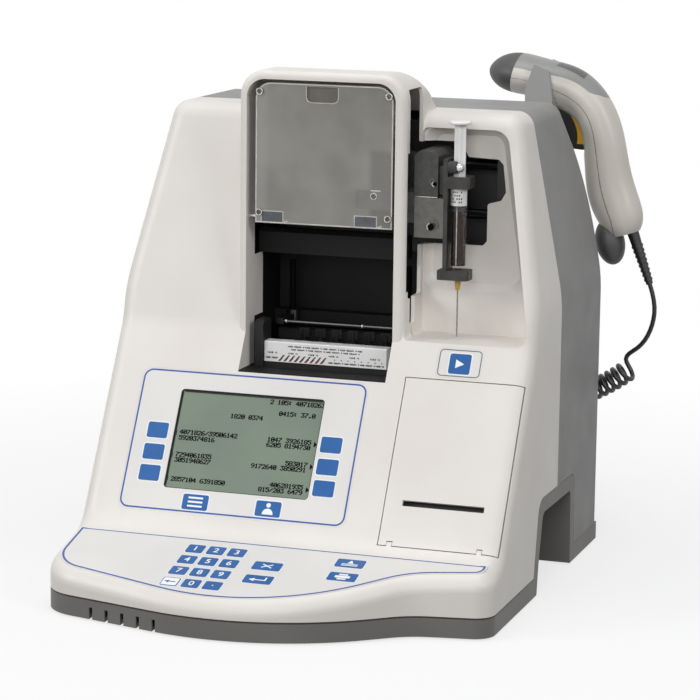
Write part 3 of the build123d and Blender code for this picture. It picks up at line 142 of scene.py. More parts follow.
# The control points lie a little outside the curls, so that the smooth curve gets their radius.
control_radius = curl_radius / math.cos(math.pi / points_per_curl)
side = Vector((0, 1, 0))
curl_points = []
for i in range(curls * points_per_curl + 1):
    middle, heading = along_axis(i / (curls * points_per_curl))
    angle = 2 * math.pi * i / points_per_curl
    outward = side * math.cos(angle) + heading.cross(side) * math.sin(angle)
    curl_points.append(middle + control_radius * outward)
cord_points = in_metres(lead_points) + curl_points + in_metres(tail_points)
cord_path = [tuple(p) for p in points_on(spline_of("cord_middle_line", cord_points, 0))]
cord_line = spline_of("cord_line", cord_points, CORD_THICKNESS)
cord = bpy.data.objects.new("scanner_cord", bpy.data.meshes.new_from_object(cord_line))
bpy.context.scene.collection.objects.link(cord)
bpy.data.objects.remove(cord_line)
cord.data.polygons.foreach_set("use_smooth", [len(p.vertices) == 4 for p in cord.data.polygons])
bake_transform(cord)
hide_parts("cord_lead", "cord_coil", "cord_tail")


def linear(code):
    """An sRGB hex colour as linear red, green, blue and 1."""
    parts = [int(code[i:i + 2], 16) / 255 for i in (1, 3, 5)]
    return [c / 12.92 if c <= 0.04045 else ((c + 0.055) / 1.055) ** 2.4 for c in parts] + [1]


def add(tree, kind, links=None, **settings):
    """Adds one node with its settings; its sockets, by name or number, get a value or a link."""
    made = tree.nodes.new("ShaderNode" + kind)
    for name, value in settings.items():
        setattr(made, name, value)
    for socket, value in (links or {}).items():
        if isinstance(value, bpy.types.NodeSocket):
            tree.links.new(value, made.inputs[socket])
        else:
            made.inputs[socket].default_value = value
    return made


def surface(name, roughness, metallic=0.0, ior=1.5):
    """A new material with its shader; the caller adds what its finish needs."""
    made = bpy.data.materials.new(name)
    made.use_nodes = True
    tree = made.node_tree
    tree.nodes.clear()
    shader = add(tree, "BsdfPrincipled", {"Roughness": roughness, "Metallic": metallic, "IOR": ior})
    add(tree, "OutputMaterial", {"Surface": shader.outputs[0]})
    return made, tree, shader


def give(material, *names):
    """Puts a material on CAD nodes or on pieces."""
    for name in names:
        piece = nodes[name] if isinstance(name, str) else name
        piece.data.materials.clear()
        piece.data.materials.append(material)


def patches(tree, dark, light, patch_mm):
    """A colour that drifts between two close tones over patches of a real size."""
    place = add(tree, "TexCoord")
    clouds = add(tree, "TexNoise", {"Vector": place.outputs["Object"],
                                    "Scale": 1 / (patch_mm * MM), "Detail": 3.0})
    # Noise keeps near its middle, so a narrow ramp is what lets both tones show.
    ramp = add(tree, "ValToRGB", {0: clouds.outputs[0]})
    ramp.color_ramp.elements[0].position = 0.35
    ramp.color_ramp.elements[0].color = linear(dark)
    ramp.color_ramp.elements[1].position = 0.65
    ramp.color_ramp.elements[1].color = linear(light)
    return ramp.outputs[0]


def uneven(tree, shader, dark, light, patch_mm):
    """Lets the whole surface drift between two close tones."""
    tree.links.new(patches(tree, dark, light, patch_mm), shader.inputs["Base Color"])


# Real grains of 0.1 to 0.3 mm are too fine to show, so grains are drawn at 0.3 to 1.2 mm.
def grained(tree, shader, grain_mm, strength, height_mm=0.02):
    """A fine bump of even grains."""
    place = add(tree, "TexCoord")
    grains = add(tree, "TexNoise", {"Vector": place.outputs["Object"],
                                    "Scale": 1 / (grain_mm * MM), "Detail": 2.0})
    bump = add(tree, "Bump", {"Height": grains.outputs[0], "Strength": strength,
                              "Distance": height_mm * MM})
    tree.links.new(bump.outputs[0], shader.inputs["Normal"])


def polish_varies(tree, shader, smooth, rough, patch_mm):
    """Lets the gloss drift, as handling and wiping leave it."""
    place = add(tree, "TexCoord")
    clouds = add(tree, "TexNoise", {"Vector": place.outputs["Object"],
                                    "Scale": 1 / (patch_mm * MM), "Detail": 2.0})
    spread = add(tree, "MapRange", {0: clouds.outputs[0], 1: 0.3, 2: 0.7, 3: smooth, 4: rough})
    tree.links.new(spread.outputs[0], shader.inputs["Roughness"])


# PVC jacket: soft black, a little shiny where it was drawn over the mandrel.
black_pvc, tree, shader = surface("black_soft_pvc", 0.38)
uneven(tree, shader, "#131314", "#1C1C1E", 12)
grained(tree, shader, 0.6, 0.15)
give(black_pvc, cord, "strain_relief")

# Floor and light
# A white paper sweep under soft lights from above, from both sides and beside the camera, and
# an even white surround that polished parts and clear plastic reflect.


def seen_directly(tree):
    """1 where the camera, a reflection or a view through something clear meets the surface."""
    path = add(tree, "LightPath")
    seen_or_mirrored = add(tree, "Math", {0: path.outputs["Is Camera Ray"],
                                          1: path.outputs["Is Glossy Ray"]}, operation="MAXIMUM")
    any_of_them = add(tree, "Math", {0: seen_or_mirrored.outputs[0],
                                     1: path.outputs["Is Transmission Ray"]}, operation="MAXIMUM")
    return any_of_them.outputs[0]


world = bpy.data.worlds.new("studio")
world.use_nodes = True
sky = world.node_tree
sky.nodes.clear()
surround = add(sky, "Background", {"Color": linear("#FFFFFF"), "Strength": 1.0})
ambient = add(sky, "Background", {"Color": linear("#F4F6FA"), "Strength": 0.3})
sky_mix = add(sky, "MixShader", {0: seen_directly(sky), 1: ambient.outputs[0], 2: surround.outputs[0]})
add(sky, "OutputWorld", {"Surface": sky_mix.outputs[0]})
bpy.context.scene.world = world

floor_mesh = bpy.data.meshes.new("floor")
floor_reach = 30.0
floor_corners = [(x * floor_reach, y * floor_reach, 0) for x, y in ((-1, -1), (1, -1), (1, 1), (-1, 1))]
floor_mesh.from_pydata(floor_corners, [], [(0, 1, 2, 3)])
floor = bpy.data.objects.new("floor", floor_mesh)
bpy.context.scene.collection.objects.link(floor)
paper_sweep = bpy.data.materials.new("white_paper_sweep")
paper_sweep.use_nodes = True
tree = paper_sweep.node_tree
tree.nodes.clear()
# What the paper throws back on the object is dim, as on a table that stands free of walls.
paper_colour = add(tree, "Mix", {0: seen_directly(tree), 6: linear("#5A5856"), 7: linear("#F2F2F2")},
                   data_type="RGBA")
paper_tone = add(tree, "BsdfDiffuse", {"Color": paper_colour.outputs[2]})
paper_white = add(tree, "Emission", {"Color": linear("#FFFFFF"), "Strength": 1.0})
# Within 0.3 m a good quarter of the paper's shade shows, and from 0.9 m on it is plain white.
shade_near = 0.3
shade_far = 0.9
white_share = 0.72
ground = add(tree, "TexCoord")
away = add(tree, "VectorMath", {0: ground.outputs["Object"]}, operation="LENGTH")
fade = add(tree, "MapRange", {0: away.outputs["Value"], 1: shade_near, 2: shade_far,
                              3: white_share, 4: 1.0})
share = add(tree, "Math", {0: seen_directly(tree), 1: fade.outputs[0]}, operation="MULTIPLY")
paper_mix = add(tree, "MixShader", {0: share.outputs[0], 1: paper_tone.outputs[0],
                                    2: paper_white.outputs[0]})
add(tree, "OutputMaterial", {"Surface": paper_mix.outputs[0]})
floor_mesh.materials.append(paper_sweep)


def soft_light(name, place, size, power):
    """A square soft light that faces the object's middle, in metres and watts."""
    data = bpy.data.lights.new(name, "AREA")
    data.shape = "SQUARE"
    data.size = size
    data.energy = power
    lamp = bpy.data.objects.new(name, data)
    lamp.location = place
    middle = Vector((0, 0, 0.2))
    lamp.rotation_euler = (middle - Vector(place)).to_track_quat("-Z", "Y").to_euler()
    bpy.context.scene.collection.objects.link(lamp)


soft_light("overhead", (0, -0.2, 2.3), 1.5, 17)
soft_light("front_left", (-2.0, -1.5, 1.2), 0.9, 25)
soft_light("front", (0.5, -2.5, 1.1), 0.9, 18)
soft_light("right", (2.1, -1.2, 1.4), 0.9, 17)

# Covers
# The front cover, the printer door and the tower are one warm white ABS, moulded against
# a spark-eroded steel face, so it has a fine even grain and a satin look.


def where(tree):
    """The place on the object as three sockets: across, back and up, in metres."""
    place = add(tree, "TexCoord")
    return add(tree, "SeparateXYZ", {0: place.outputs["Object"]}).outputs


white_abs, tree, shader = surface("white_grained_abs", 0.42)
whole_cover = patches(tree, "#DFDAD4", "#E4E0DA", 90)
# The covers end in a narrow rebate on top of the base; the shade in it is painted, as a near-black band
# along the cover's lowest edge.
rebate_top = 17.8 * MM
above_rebate_shade = add(tree, "Math", {0: where(tree)[2], 1: rebate_top}, operation="GREATER_THAN")
with_rebate_shade = add(tree, "Mix", {0: above_rebate_shade.outputs[0], 6: linear("#25231F"), 7: whole_cover},
                  data_type="RGBA")
tree.links.new(with_rebate_shade.outputs[2], shader.inputs["Base Color"])
grained(tree, shader, 0.7, 0.14)
polish_varies(tree, shader, 0.38, 0.46, 30)
shader.inputs["Specular IOR Level"].default_value = 0.4
give(white_abs, "front_cover", "tower_cover", "bay_cover", "printer_door")

# Base and rear cover
# Mid grey ABS, moulded with the same grain; the base is a little darker than the rear cover. The
# rear cover closes the housing from behind, and the scanner's saddle is fixed to its right side.

grey_abs, tree, shader = surface("grey_grained_abs", 0.48)
uneven(tree, shader, "#91908F", "#979695", 90)
grained(tree, shader, 0.7, 0.2)
polish_varies(tree, shader, 0.5, 0.6, 30)
shader.inputs["Specular IOR Level"].default_value = 0.2
give(grey_abs, "rear_cover")
# The base's grain is coarser and deeper, so it looks duller than the covers.
dark_grey_abs, tree, shader = surface("dark_grey_grained_abs", 0.5)
uneven(tree, shader, "#6E6C69", "#767471", 90)
grained(tree, shader, 0.9, 0.5, 0.05)
shader.inputs["Specular IOR Level"].default_value = 0.25
give(dark_grey_abs, "base_tray")
# The scanner's saddle is a separate moulding in a lighter grey.
saddle_abs, tree, shader = surface("light_grey_grained_abs", 0.46)
uneven(tree, shader, "#959594", "#9B9B9A", 60)
grained(tree, shader, 0.7, 0.15)
give(saddle_abs, "scanner_holder")

# Overlays
# Printed polyester film with a fine matt coat, laid in shallow fields of the cover. The blue and
# grey lines, the pale borders and the legends are printed on it; the keys are embossed.

# The console's plane would meet the ground 140 mm before the middle; the apron rises from its lip.
console_slope = math.radians(60.8)
console_foot = -140
apron_slope = math.radians(14.0)
lip_place = -205
lip_height = 32


def on_console(x, s, out):
    """A point across, up the slope and out of the console, from millimetres."""
    return Vector((x, console_foot + s * math.cos(console_slope) - out * math.sin(console_slope),
                   s * math.sin(console_slope) + out * math.cos(console_slope))) * MM


def on_apron(x, y, out):
    """A point of the apron, given from above by x and y, and lifted out of it."""
    height = lip_height + (y - lip_place) * math.tan(apron_slope)
    return Vector((x, y - out * math.sin(apron_slope), height + out * math.cos(apron_slope))) * MM


def printed(name, shapes, place, out, body="housing"):
    """Flat printed fields, each a list of its corners, laid a hair above what carries them."""
    corners = []
    faces = []
    for shape in shapes:
        faces.append(tuple(range(len(corners), len(corners) + len(shape))))
        corners += [place(u, v, out) for u, v in shape]
    mesh = bpy.data.meshes.new(name)
    mesh.from_pydata(corners, [], faces)
    made = bpy.data.objects.new(name, mesh)
    bpy.context.scene.collection.objects.link(made)
    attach(made, body)
    return made


def bar(u0, u1, v0, v1):
    """A plain rectangle's corners."""
    return [(u0, v0), (u1, v0), (u1, v1), (u0, v1)]


def arc(u, v, radius, angles, tall=1.0):
    """Points round a centre at the angles, in degrees; tall stretches the round upwards."""
    turns = [math.radians(angle) for angle in angles]
    return [(u + radius * math.cos(a), v + tall * radius * math.sin(a)) for a in turns]


def rounded(u0, u1, v0, v1, radius):
    """A rectangle's corners, each rounded in six steps."""
    points = []
    for cu, cv, start in ((u1 - radius, v0 + radius, -90), (u1 - radius, v1 - radius, 0),
                          (u0 + radius, v1 - radius, 90), (u0 + radius, v0 + radius, 180)):
        points += arc(cu, cv, radius, range(start, start + 91, 15))
    return points


def mitre(first, second, sharpest):
    """The step across a bend between two headings that keeps a line's width there."""
    across = Vector((-(first + second).y, (first + second).x)).normalized()
    return across / max(sharpest, across.dot(Vector((-first.y, first.x))))


def line_along(points, width, closed=True):
    """The quads of a line of even width that follows the points."""
    points = [Vector(p) for p in points]
    same_place = 1e-9
    sides = []
    for i, here in enumerate(points):
        before = points[i - 1] if closed or i else here
        after = points[(i + 1) % len(points)] if closed or i < len(points) - 1 else here
        onward = (after - here).normalized()
        first = (here - before).normalized() if (here - before).length > same_place else onward
        second = onward if (after - here).length > same_place else first
        step = mitre(first, second, 0.4) * (width / 2)
        sides.append((tuple(here - step), tuple(here + step)))
    following = sides[1:] + sides[:1] if closed else sides[1:]
    return [[a[0], b[0], b[1], a[1]] for a, b in zip(sides, following)]


# The film is pale and warm with a faint sheen; over blue ink it looks deeper and glossier.
overlay_film, tree, shader = surface("printed_polyester_film", 0.38)
uneven(tree, shader, "#DDDBD8", "#E1DFDC", 60)
grained(tree, shader, 0.5, 0.06)
give(overlay_film, "display_overlay", "keypad_overlay", "start_overlay")
key_blue, tree, shader = surface("blue_printed_film", 0.33)
uneven(tree, shader, "#18599B", "#1C60A4", 20)
grained(tree, shader, 0.5, 0.06)
give(key_blue, "membrane_keys")
# Screen inks are thin, opaque and even.
white_ink, tree, shader = surface("white_screen_ink", 0.4)
uneven(tree, shader, "#EFF0F2", "#F4F5F6", 10)
blue_ink, tree, shader = surface("blue_screen_ink", 0.4)
uneven(tree, shader, "#2F4F98", "#35569F", 10)
grey_ink, tree, shader = surface("grey_screen_ink", 0.4)
uneven(tree, shader, "#5C5E62", "#66686D", 10)

display_rim = line_along(rounded(-142.75, 45.85, 80.2, 195.9, 7), 1.35)
display_line = printed("display_outline", display_rim, on_console, 0.04)
start_rim = line_along(rounded(101.3, 135.2, 209.1, 230.7, 3), 0.8)
start_line = printed("start_outline", start_rim, on_console, 0.04)

# The keypad's outline runs parallel to the overlay's own edge, so it is read from the overlay:
# the edges that only one of its outward faces has, walked round and turned to run anticlockwise.
film = nodes["keypad_overlay"].data
apron_out = Vector((0, -math.sin(apron_slope), math.cos(apron_slope)))
edge_uses = {}
for polygon in film.polygons:
    if polygon.normal.dot(apron_out) > 0.99:
        corners = [tuple(round(c, 6) for c in film.vertices[v].co) for v in polygon.vertices]
        for a, b in zip(corners, corners[1:] + corners[:1]):
            edge = tuple(sorted((a, b)))
            edge_uses[edge] = edge_uses.get(edge, 0) + 1
rim = [edge for edge, uses in edge_uses.items() if uses == 1]
neighbours = {}
for a, b in rim:
    neighbours.setdefault(a, []).append(b)
    neighbours.setdefault(b, []).append(a)
walk = list(rim[0])
while len(walk) < len(rim):
    onward = [p for p in neighbours[walk[-1]] if p != walk[-2]][0]
    if onward == walk[0]:
        break
    walk.append(onward)
film_edge = [Vector((p[0] / MM, p[1] / MM)) for p in walk]
# Steps under 0.4 mm are left out, because their headings are too uncertain to run parallel to.
film_edge = [p for i, p in enumerate(film_edge) if (p - film_edge[i - 1]).length > 0.4]
area = sum(a.x * b.y - b.x * a.y for a, b in zip(film_edge, film_edge[1:] + film_edge[:1]))
if area < 0:
    film_edge.reverse()


def moved_in(points, inset):
    """The closed line parallel to the points, to their left by the inset."""
    inner = []
    for i, here in enumerate(points):
        first = (here - points[i - 1]).normalized()
        second = (points[(i + 1) % len(points)] - here).normalized()
        inner.append(here + mitre(first, second, 0.35) * inset)
    return inner


keypad_line = printed("keypad_outline", line_along(moved_in(film_edge, 2.0), 1.7), on_apron, 0.05)
give(blue_ink, display_line, keypad_line)
give(grey_ink, start_line)

# Pale borders round the blue keys, and the white key with its blue line at the keypad's corner.
legend_lift = 0.39
soft_keys = []
for s in (145.2, 127.0, 109.3):
    soft_keys += [(-131.2, -113.8, s - 6.5, s + 6.5), (16.3, 33.7, s - 7.1, s + 5.9)]
soft_keys += [(-89.9, -68.3, 81.9, 94.6), (-28.0, -7.0, 81.9, 94.6), (109.77, 127.17, 211.0, 227.7)]
borders = []
for x0, x1, s0, s1 in soft_keys:
    borders += line_along(rounded(x0 - 0.5, x1 + 0.5, s0 - 0.5, s1 + 0.5, 2.0), 1.0)
display_borders = printed("display_key_borders", borders, on_console, 0.05)
digit_keys = [(-63.6 + 17.3 * column, -134.7 - 17.4 * row) for row in range(4) for column in range(3)]
wide_keys = [(1.8, -150.4), (2.1, -171.2), (63.7, -134.2), (64.4, -155.0)]
half_length = 6.65 * math.cos(apron_slope)
borders = []
for keys, half_width in ((digit_keys, 7.4), (wide_keys, 11.9)):
    for x, y in keys:
        key_edge = rounded(x - half_width, x + half_width, y - half_length, y + half_length, 2.0)
        borders += line_along(key_edge, 0.8)
keypad_borders = printed("keypad_key_borders", borders, on_apron, 0.05)
give(white_ink, display_borders, keypad_borders)
white_x, white_y = digit_keys[9]
white_face = rounded(white_x - 6.9, white_x + 6.9, white_y - 6.0, white_y + 6.0, 1.6)
white_edge = line_along(rounded(white_x - 6.6, white_x + 6.6, white_y - 5.7, white_y + 5.7, 1.5), 0.6)
white_key = printed("white_key_face", [white_face], on_apron, 0.37)
white_key_line = printed("white_key_outline", white_edge, on_apron, legend_lift)
give(white_ink, white_key)
give(blue_ink, white_key_line)


def digit(name, text, x, y):
    """One printed digit, 6.6 mm high and a little bold, centred on a key of the apron."""
    height = 6.6
    data = bpy.data.curves.new(name, "FONT")
    data.body = text
    data.size = 1.38 * height * MM
    data.offset = 0.02 * height * MM
    data.align_x = "CENTER"
    data.align_y = "CENTER"
    data.resolution_u = 4
    made = bpy.data.objects.new(name, data)
    across = Vector((1, 0, 0))
    along = Vector((0, math.cos(apron_slope), math.sin(apron_slope)))
    tilt = Matrix((across, along, apron_out)).transposed().to_4x4()
    made.matrix_world = Matrix.Translation(on_apron(x, y, legend_lift)) @ tilt
    bpy.context.scene.collection.objects.link(made)
    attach(made, "housing")
    data.materials.append(white_ink)


# Legends: plain digits and symbols, white on the blue keys. The white key has no digit.
for (x, y), text in zip(digit_keys, "123456789 0."):
    if text == ".":
        digit("digit_point", text, x, y + 2.4)
    elif text != " ":
        digit("digit_" + text, text, x, y)


def crossed(x, y, reach, width):
    """Two crossed strokes."""
    shapes = []
    for rise in (0.6 * reach, -0.6 * reach):
        shapes += line_along([(x - reach, y - rise), (x + reach, y + rise)], width, closed=False)
    return shapes


def arrow(x, y, size, heading):
    """A solid arrow head that points along the angle."""
    return arc(x, y, size, (heading, heading + 125, heading + 235))


# The wide keys: a cross, a return arrow, a paper feed and a printer.
x, y = wide_keys[0]
symbols = crossed(x, y, 4.2, 1.3)
x, y = wide_keys[1]
symbols += [bar(x - 4.0, x + 6.5, y - 1.4, y - 0.1), bar(x + 5.2, x + 6.5, y - 0.1, y + 3.6),
            arrow(x - 4.6, y - 0.75, 2.9, 180)]
x, y = wide_keys[2]
symbols += [arrow(x, y + 1.6, 3.0, 90), bar(x - 6.5, x + 6.5, y - 2.0, y - 0.9),
            bar(x - 6.5, x + 6.5, y - 3.9, y - 2.8)]
x, y = wide_keys[3]
symbols += [bar(x - 6.0, x + 6.0, y - 1.8, y + 1.4), bar(x - 3.6, x + 3.6, y + 2.0, y + 4.2),
            bar(x - 3.6, x + 3.6, y - 4.4, y - 2.4)]
keypad_symbols = printed("keypad_symbols", symbols, on_apron, legend_lift)
# The console: three lines, a round over a half round, and an arrow on the start key.
symbols = [bar(-85.3, -72.9, s, s + 1.5) for s in (91.0, 87.6, 84.2)]
symbols.append(arc(-17.5, 91.2, 1.9, range(0, 360, 30)))
symbols.append(arc(-17.5, 83.6, 4.6, range(0, 181, 20), tall=4.9 / 4.6))
symbols.append(arrow(117.6, 219.3, 4.4, 0))
console_symbols = printed("console_symbols", symbols, on_console, legend_lift)
back_arrow = [arrow(white_x - 2.6, white_y, 2.4, 180),
              bar(white_x - 1.6, white_x + 4.2, white_y - 0.6, white_y + 0.6)]
white_key_symbol = printed("white_key_symbol", back_arrow, on_apron, legend_lift)
give(white_ink, keypad_symbols, console_symbols)
give(blue_ink, white_key_symbol)

# Display
# A reflective liquid crystal glass, grey green behind a matt front polariser; round it the recess's
# shadow is painted as a dark band.
# Its dot rows show plain digits, three short entries on each side with a pointer at each soft key.

display_glass, tree, shader = surface("grey_green_display_glass", 0.3)
uneven(tree, shader, "#707E70", "#788777", 60)
grained(tree, shader, 0.4, 0.05)
give(display_glass, "lcd_module")
# A switched dot is nearly black and has hardly any gloss of its own behind the glass.
dark_dots, tree, shader = surface("switched_crystal", 0.3)
uneven(tree, shader, "#030403", "#080A08", 10)
shader.inputs["Specular IOR Level"].default_value = 0.1
# Each sign is seven rows of five dots, from the top, with one hexadecimal pair for a row.
dots = {"0": "0E11131519110E", "1": "040C040404040E", "2": "0E11010204081F", "3": "1F02040201110E",
        "4": "02060A121F0202", "5": "1F101E0101110E", "6": "0608101E11110E", "7": "1F010204080808",
        "8": "0E11110E11110E", "9": "0E11110F01020C", ".": "0000000000060C", "/": "00010204081000",
        ":": "000C0C000C0C00", "<": "02060E1E0E0602", ">": "080C0E0F0E0C08", " ": "00000000000000"}
sign_pitch = 3.09
dot_pitch = 0.54
# The glass lies under the window, so its dots and the painted shadow band are below the console's face.
dots_out = -1.76
shadow_out = -1.7


def dot_row(x, s, text):
    """Signs of five by seven dots as bars, from the left end and the middle of the row."""
    bars = []
    # Dots are drawn a little fat, so that the thin strokes read at this size.
    fatter_across = 0.24
    fatter_up = 0.1
    for i, sign in enumerate(text):
        for row in range(7):
            bits = int(dots[sign][2 * row:2 * row + 2], 16)
            run = None
            for column in range(6):
                lit = column < 5 and bits >> (4 - column) & 1
                if lit and run is None:
                    run = column
                if not lit and run is not None:
                    left = x + i * sign_pitch + run * dot_pitch
                    right = left + (column - run) * dot_pitch
                    top = s + 3.5 * dot_pitch - row * dot_pitch
                    bars.append(bar(left - fatter_across, right + fatter_across,
                                    top - dot_pitch - fatter_up, top + fatter_up))
                    run = None
    return bars


display_rows = (
    (-32.4, 176.8, "2 105: 40718263"), (-23.4, 167.6, "0415: 37.0"), (-63.8, 162.4, "1820 0374"),
    (-104.1, 145.9, "4071826/39506142"), (-104.1, 141.1, "5920374816"), (-104.1, 127.0, "7294061835"),
    (-104.1, 122.5, "3051948627"), (-104.1, 106.5, "2857104 6391850"), (-29.3, 145.7, "1047 3926185"),
    (-29.3, 141.3, "6205 8194730"), (-10.7, 127.2, "583017"), (-38.9, 122.9, "9172640 3850291"),
    (-20.3, 108.7, "406281935"), (-29.3, 104.3, "815/203 6479"), (-109.0, 144.9, "<"),
    (-109.0, 126.1, "<"), (-109.0, 106.6, "<"), (9.6, 144.4, ">"), (9.6, 125.9, ">"), (9.6, 106.9, ">"))
display_bars = []
for x, s, text in display_rows:
    display_bars += dot_row(x, s, text)
display_text = printed("display_dots", display_bars, on_console, dots_out)
give(dark_dots, display_text)
# Painted shadow of the recess: a dull band round the glass, a little lighter than moulded black and
# wider at the left and top.
recess_shadow_black, tree, shader = surface("dull_black_painted_shadow", 0.8)
uneven(tree, shader, "#252724", "#2E302D", 6)
grained(tree, shader, 0.8, 0.3)
recess_shadow_shapes = line_along(rounded(-108.3, 13.0, 98.8, 181.1, 2.6), 1.2)
recess_shadow_shapes += [bar(-108.6, -107.0, 101, 179), bar(-106, 11, 179.4, 181.3)]
recess_shadow = printed("display_painted_shadow", recess_shadow_shapes, on_console, shadow_out)
give(recess_shadow_black, recess_shadow)

# Cartridge chamber
# Black moulded trim and floor, a black anodised aluminium heat block, two black posts with sliders,
# and one bright drawn rod between them that lifts the stirrers. Two small polished collars sit on it.

# Matt nylon, so deep in the opening it has hardly any highlight.
black_plastic, tree, shader = surface("matt_black_moulded_nylon", 0.6)
uneven(tree, shader, "#080808", "#0C0C0C", 30)
grained(tree, shader, 0.8, 0.25)
shader.inputs["Specular IOR Level"].default_value = 0.2
give(black_plastic, "tower_liner", "power_inlet", "switch_frame", "power_switch", "fan_frame",
     "fan_rotor", "cord_plug")
# Anodised over a fine milled face: a dry black with a little grain.
black_block, tree, shader = surface("black_anodised_aluminium_block", 0.5)
uneven(tree, shader, "#121211", "#191918", 25)
grained(tree, shader, 0.8, 0.2)
shader.inputs["Specular IOR Level"].default_value = 0.3
give(black_block, "heat_block")
# Black oxide takes nearly all gloss away. The same material paints the shade in the block screws' bores.
black_posts_and_bore_shade, tree, shader = surface("black_oxide_posts_and_painted_bore_shade", 0.7)
uneven(tree, shader, "#030303", "#060606", 20)
shader.inputs["Specular IOR Level"].default_value = 0.05
give(black_posts_and_bore_shade, "lift_posts")
# The tower's white side wall reaches back into the opening before the black trim takes over.
opening_left = -64.5


def on_side_wall(y, z, out):
    """A point on the opening's left wall, given by how far back and how high it is."""
    return Vector((opening_left + out, y, z)) * MM


side_wall = printed("opening_side_wall", [bar(-12, 14.4, 213.5, 264)], on_side_wall, 0.06)
give(white_abs, side_wall)
# Only the rod is bright; its arms and sliders are black, so the finish changes where the arms begin.
rod_left = -42.9 * MM
rod_right = 50.9 * MM
rod_and_sliders, tree, shader = surface("drawn_steel_rod_in_black_sliders", 0.3)
place = where(tree)
after_left = add(tree, "Math", {0: place[0], 1: rod_left}, operation="GREATER_THAN")
before_right = add(tree, "Math", {0: place[0], 1: rod_right}, operation="LESS_THAN")
between = add(tree, "Math", {0: after_left.outputs[0], 1: before_right.outputs[0]}, operation="MULTIPLY")
tone = add(tree, "Mix", {0: between.outputs[0], 6: linear("#080808"), 7: linear("#7C7C7A")},
           data_type="RGBA")
tree.links.new(tone.outputs[2], shader.inputs["Base Color"])
tree.links.new(between.outputs[0], shader.inputs["Metallic"])
grained(tree, shader, 0.4, 0.1)
give(rod_and_sliders, "lift_bar")
# Turned and polished, so it is bright, with a gloss that drifts a little round the piece.
steel, tree, shader = surface("bright_turned_steel", 0.26, metallic=1.0)
uneven(tree, shader, "#B9BABC", "#C9CACC", 6)
grained(tree, shader, 0.4, 0.1)
polish_varies(tree, shader, 0.2, 0.34, 4)


def turned(name, start, along, profile, body, capped=True):
    """A turned piece: its profile is pairs of distance along the axis and radius, in millimetres."""
    steps = 24
    along = Vector(along).normalized()
    across = along.orthogonal().normalized()
    third = along.cross(across)
    corners = []
    for far, radius in profile:
        for i in range(steps):
            a = 2 * math.pi * i / steps
            spoke = across * math.cos(a) + third * math.sin(a)
            corners.append((Vector(start) + along * far + spoke * radius) * MM)
    faces = []
    if capped:
        faces += [tuple(reversed(range(steps))), tuple(range(len(corners) - steps, len(corners)))]
    for near in range(0, len(corners) - steps, steps):
        for i in range(steps):
            j = (i + 1) % steps
            faces.append((near + i, near + j, near + steps + j, near + steps + i))
    mesh = bpy.data.meshes.new(name)
    mesh.from_pydata(corners, [], faces)
    mesh.polygons.foreach_set("use_smooth", [len(p.vertices) == 4 for p in mesh.polygons])
    mesh.update()
    made = bpy.data.objects.new(name, mesh)
    bpy.context.scene.collection.objects.link(made)
    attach(made, body)
    return made


rod_low, rod_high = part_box("lift_bar")
rod_z = (rod_low.z + rod_high.z) / 2 / MM
rod_y = 7.0
collar_profile = ((0, 1.0), (0.2, 1.75), (1.6, 1.75), (1.8, 1.0))
for name, x in (("rod_collar_left", -42.0), ("rod_collar_right", 23.4)):
    give(steel, turned(name, (x, rod_y, rod_z), (1, 0, 0), collar_profile, "lift"))

# Cartridge
# A white polystyrene cartridge with a printed paper label on its front: two lines of print too
# small to read, six marks, a band of dark red stripes and a row of ticks. The stirrers are dark grey.

white_polymer, tree, shader = surface("white_moulded_polystyrene", 0.36)
uneven(tree, shader, "#E4E4E3", "#EBEBEA", 20)
grained(tree, shader, 0.8, 0.08)
give(white_polymer, "plunger", "cartridge")
# The stirrers' plungers are the same plastic, coloured dark grey.
grey_polymer, tree, shader = surface("dark_grey_polystyrene", 0.4)
uneven(tree, shader, "#101010", "#181819", 8)
grained(tree, shader, 0.8, 0.1)
shader.inputs["Specular IOR Level"].default_value = 0.2
give(grey_polymer, "cartridge_plungers")
label_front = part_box("cartridge")[0].y / MM


def on_label(x, z, out):
    """A point on the cartridge's front face."""
    return Vector((x, label_front - out, z)) * MM


def small_print(x0, x1, z0, z1, gap):
    """A line of print too small to read: short strokes of changing width and height."""
    shapes = []
    x = x0
    draw = 0
    while x < x1:
        draw = (draw * 5 + 3) % 16
        width = 0.5 + 0.12 * (draw % 5)
        if draw % 7:
            low = z0 if draw % 3 else z0 + 0.2 * (z1 - z0)
            high = z1 - 0.06 * (draw % 4) * (z1 - z0)
            shapes.append(bar(x, min(x + width, x1), low, high))
        x += width + gap
    return shapes


dark_print = small_print(-30.4, 32.5, 192.0, 193.3, 0.2) + small_print(-27.8, 30.5, 189.6, 190.9, 0.2)
for x in (-47.9, -30.4, -12.9, 4.3, 21.9, 39.3):
    dark_print += small_print(x, x + 8.4, 186.2, 187.7, 0.45)
dark_print += small_print(-49.3, -39.2, 182.0, 183.6, 0.15) + small_print(3.8, 51.1, 181.0, 182.3, 0.12)
dark_print += [bar(8.9 + 5.7 * i, 9.8 + 5.7 * i, 183.7, 184.6) for i in range(8)]
stripes = []
red_band = []
for i in range(9):
    x = -38.9 + 4.45 * i
    stripes.append([(x, 180.2), (x + 1.5, 180.2), (x + 6.0, 185.4), (x + 4.5, 185.4)])
    red_band.append([(x + 1.5, 180.2), (x + 2.1, 180.2), (x + 4.6, 183.0), (x + 4.0, 183.0)])
label_print = printed("cartridge_label_print", dark_print, on_label, 0.06,
                      body="cartridge")
label_stripes = printed("cartridge_label_stripes", stripes, on_label, 0.06,
                        body="cartridge")
label_red = printed("cartridge_label_red", red_band, on_label, 0.07,
                    body="cartridge")
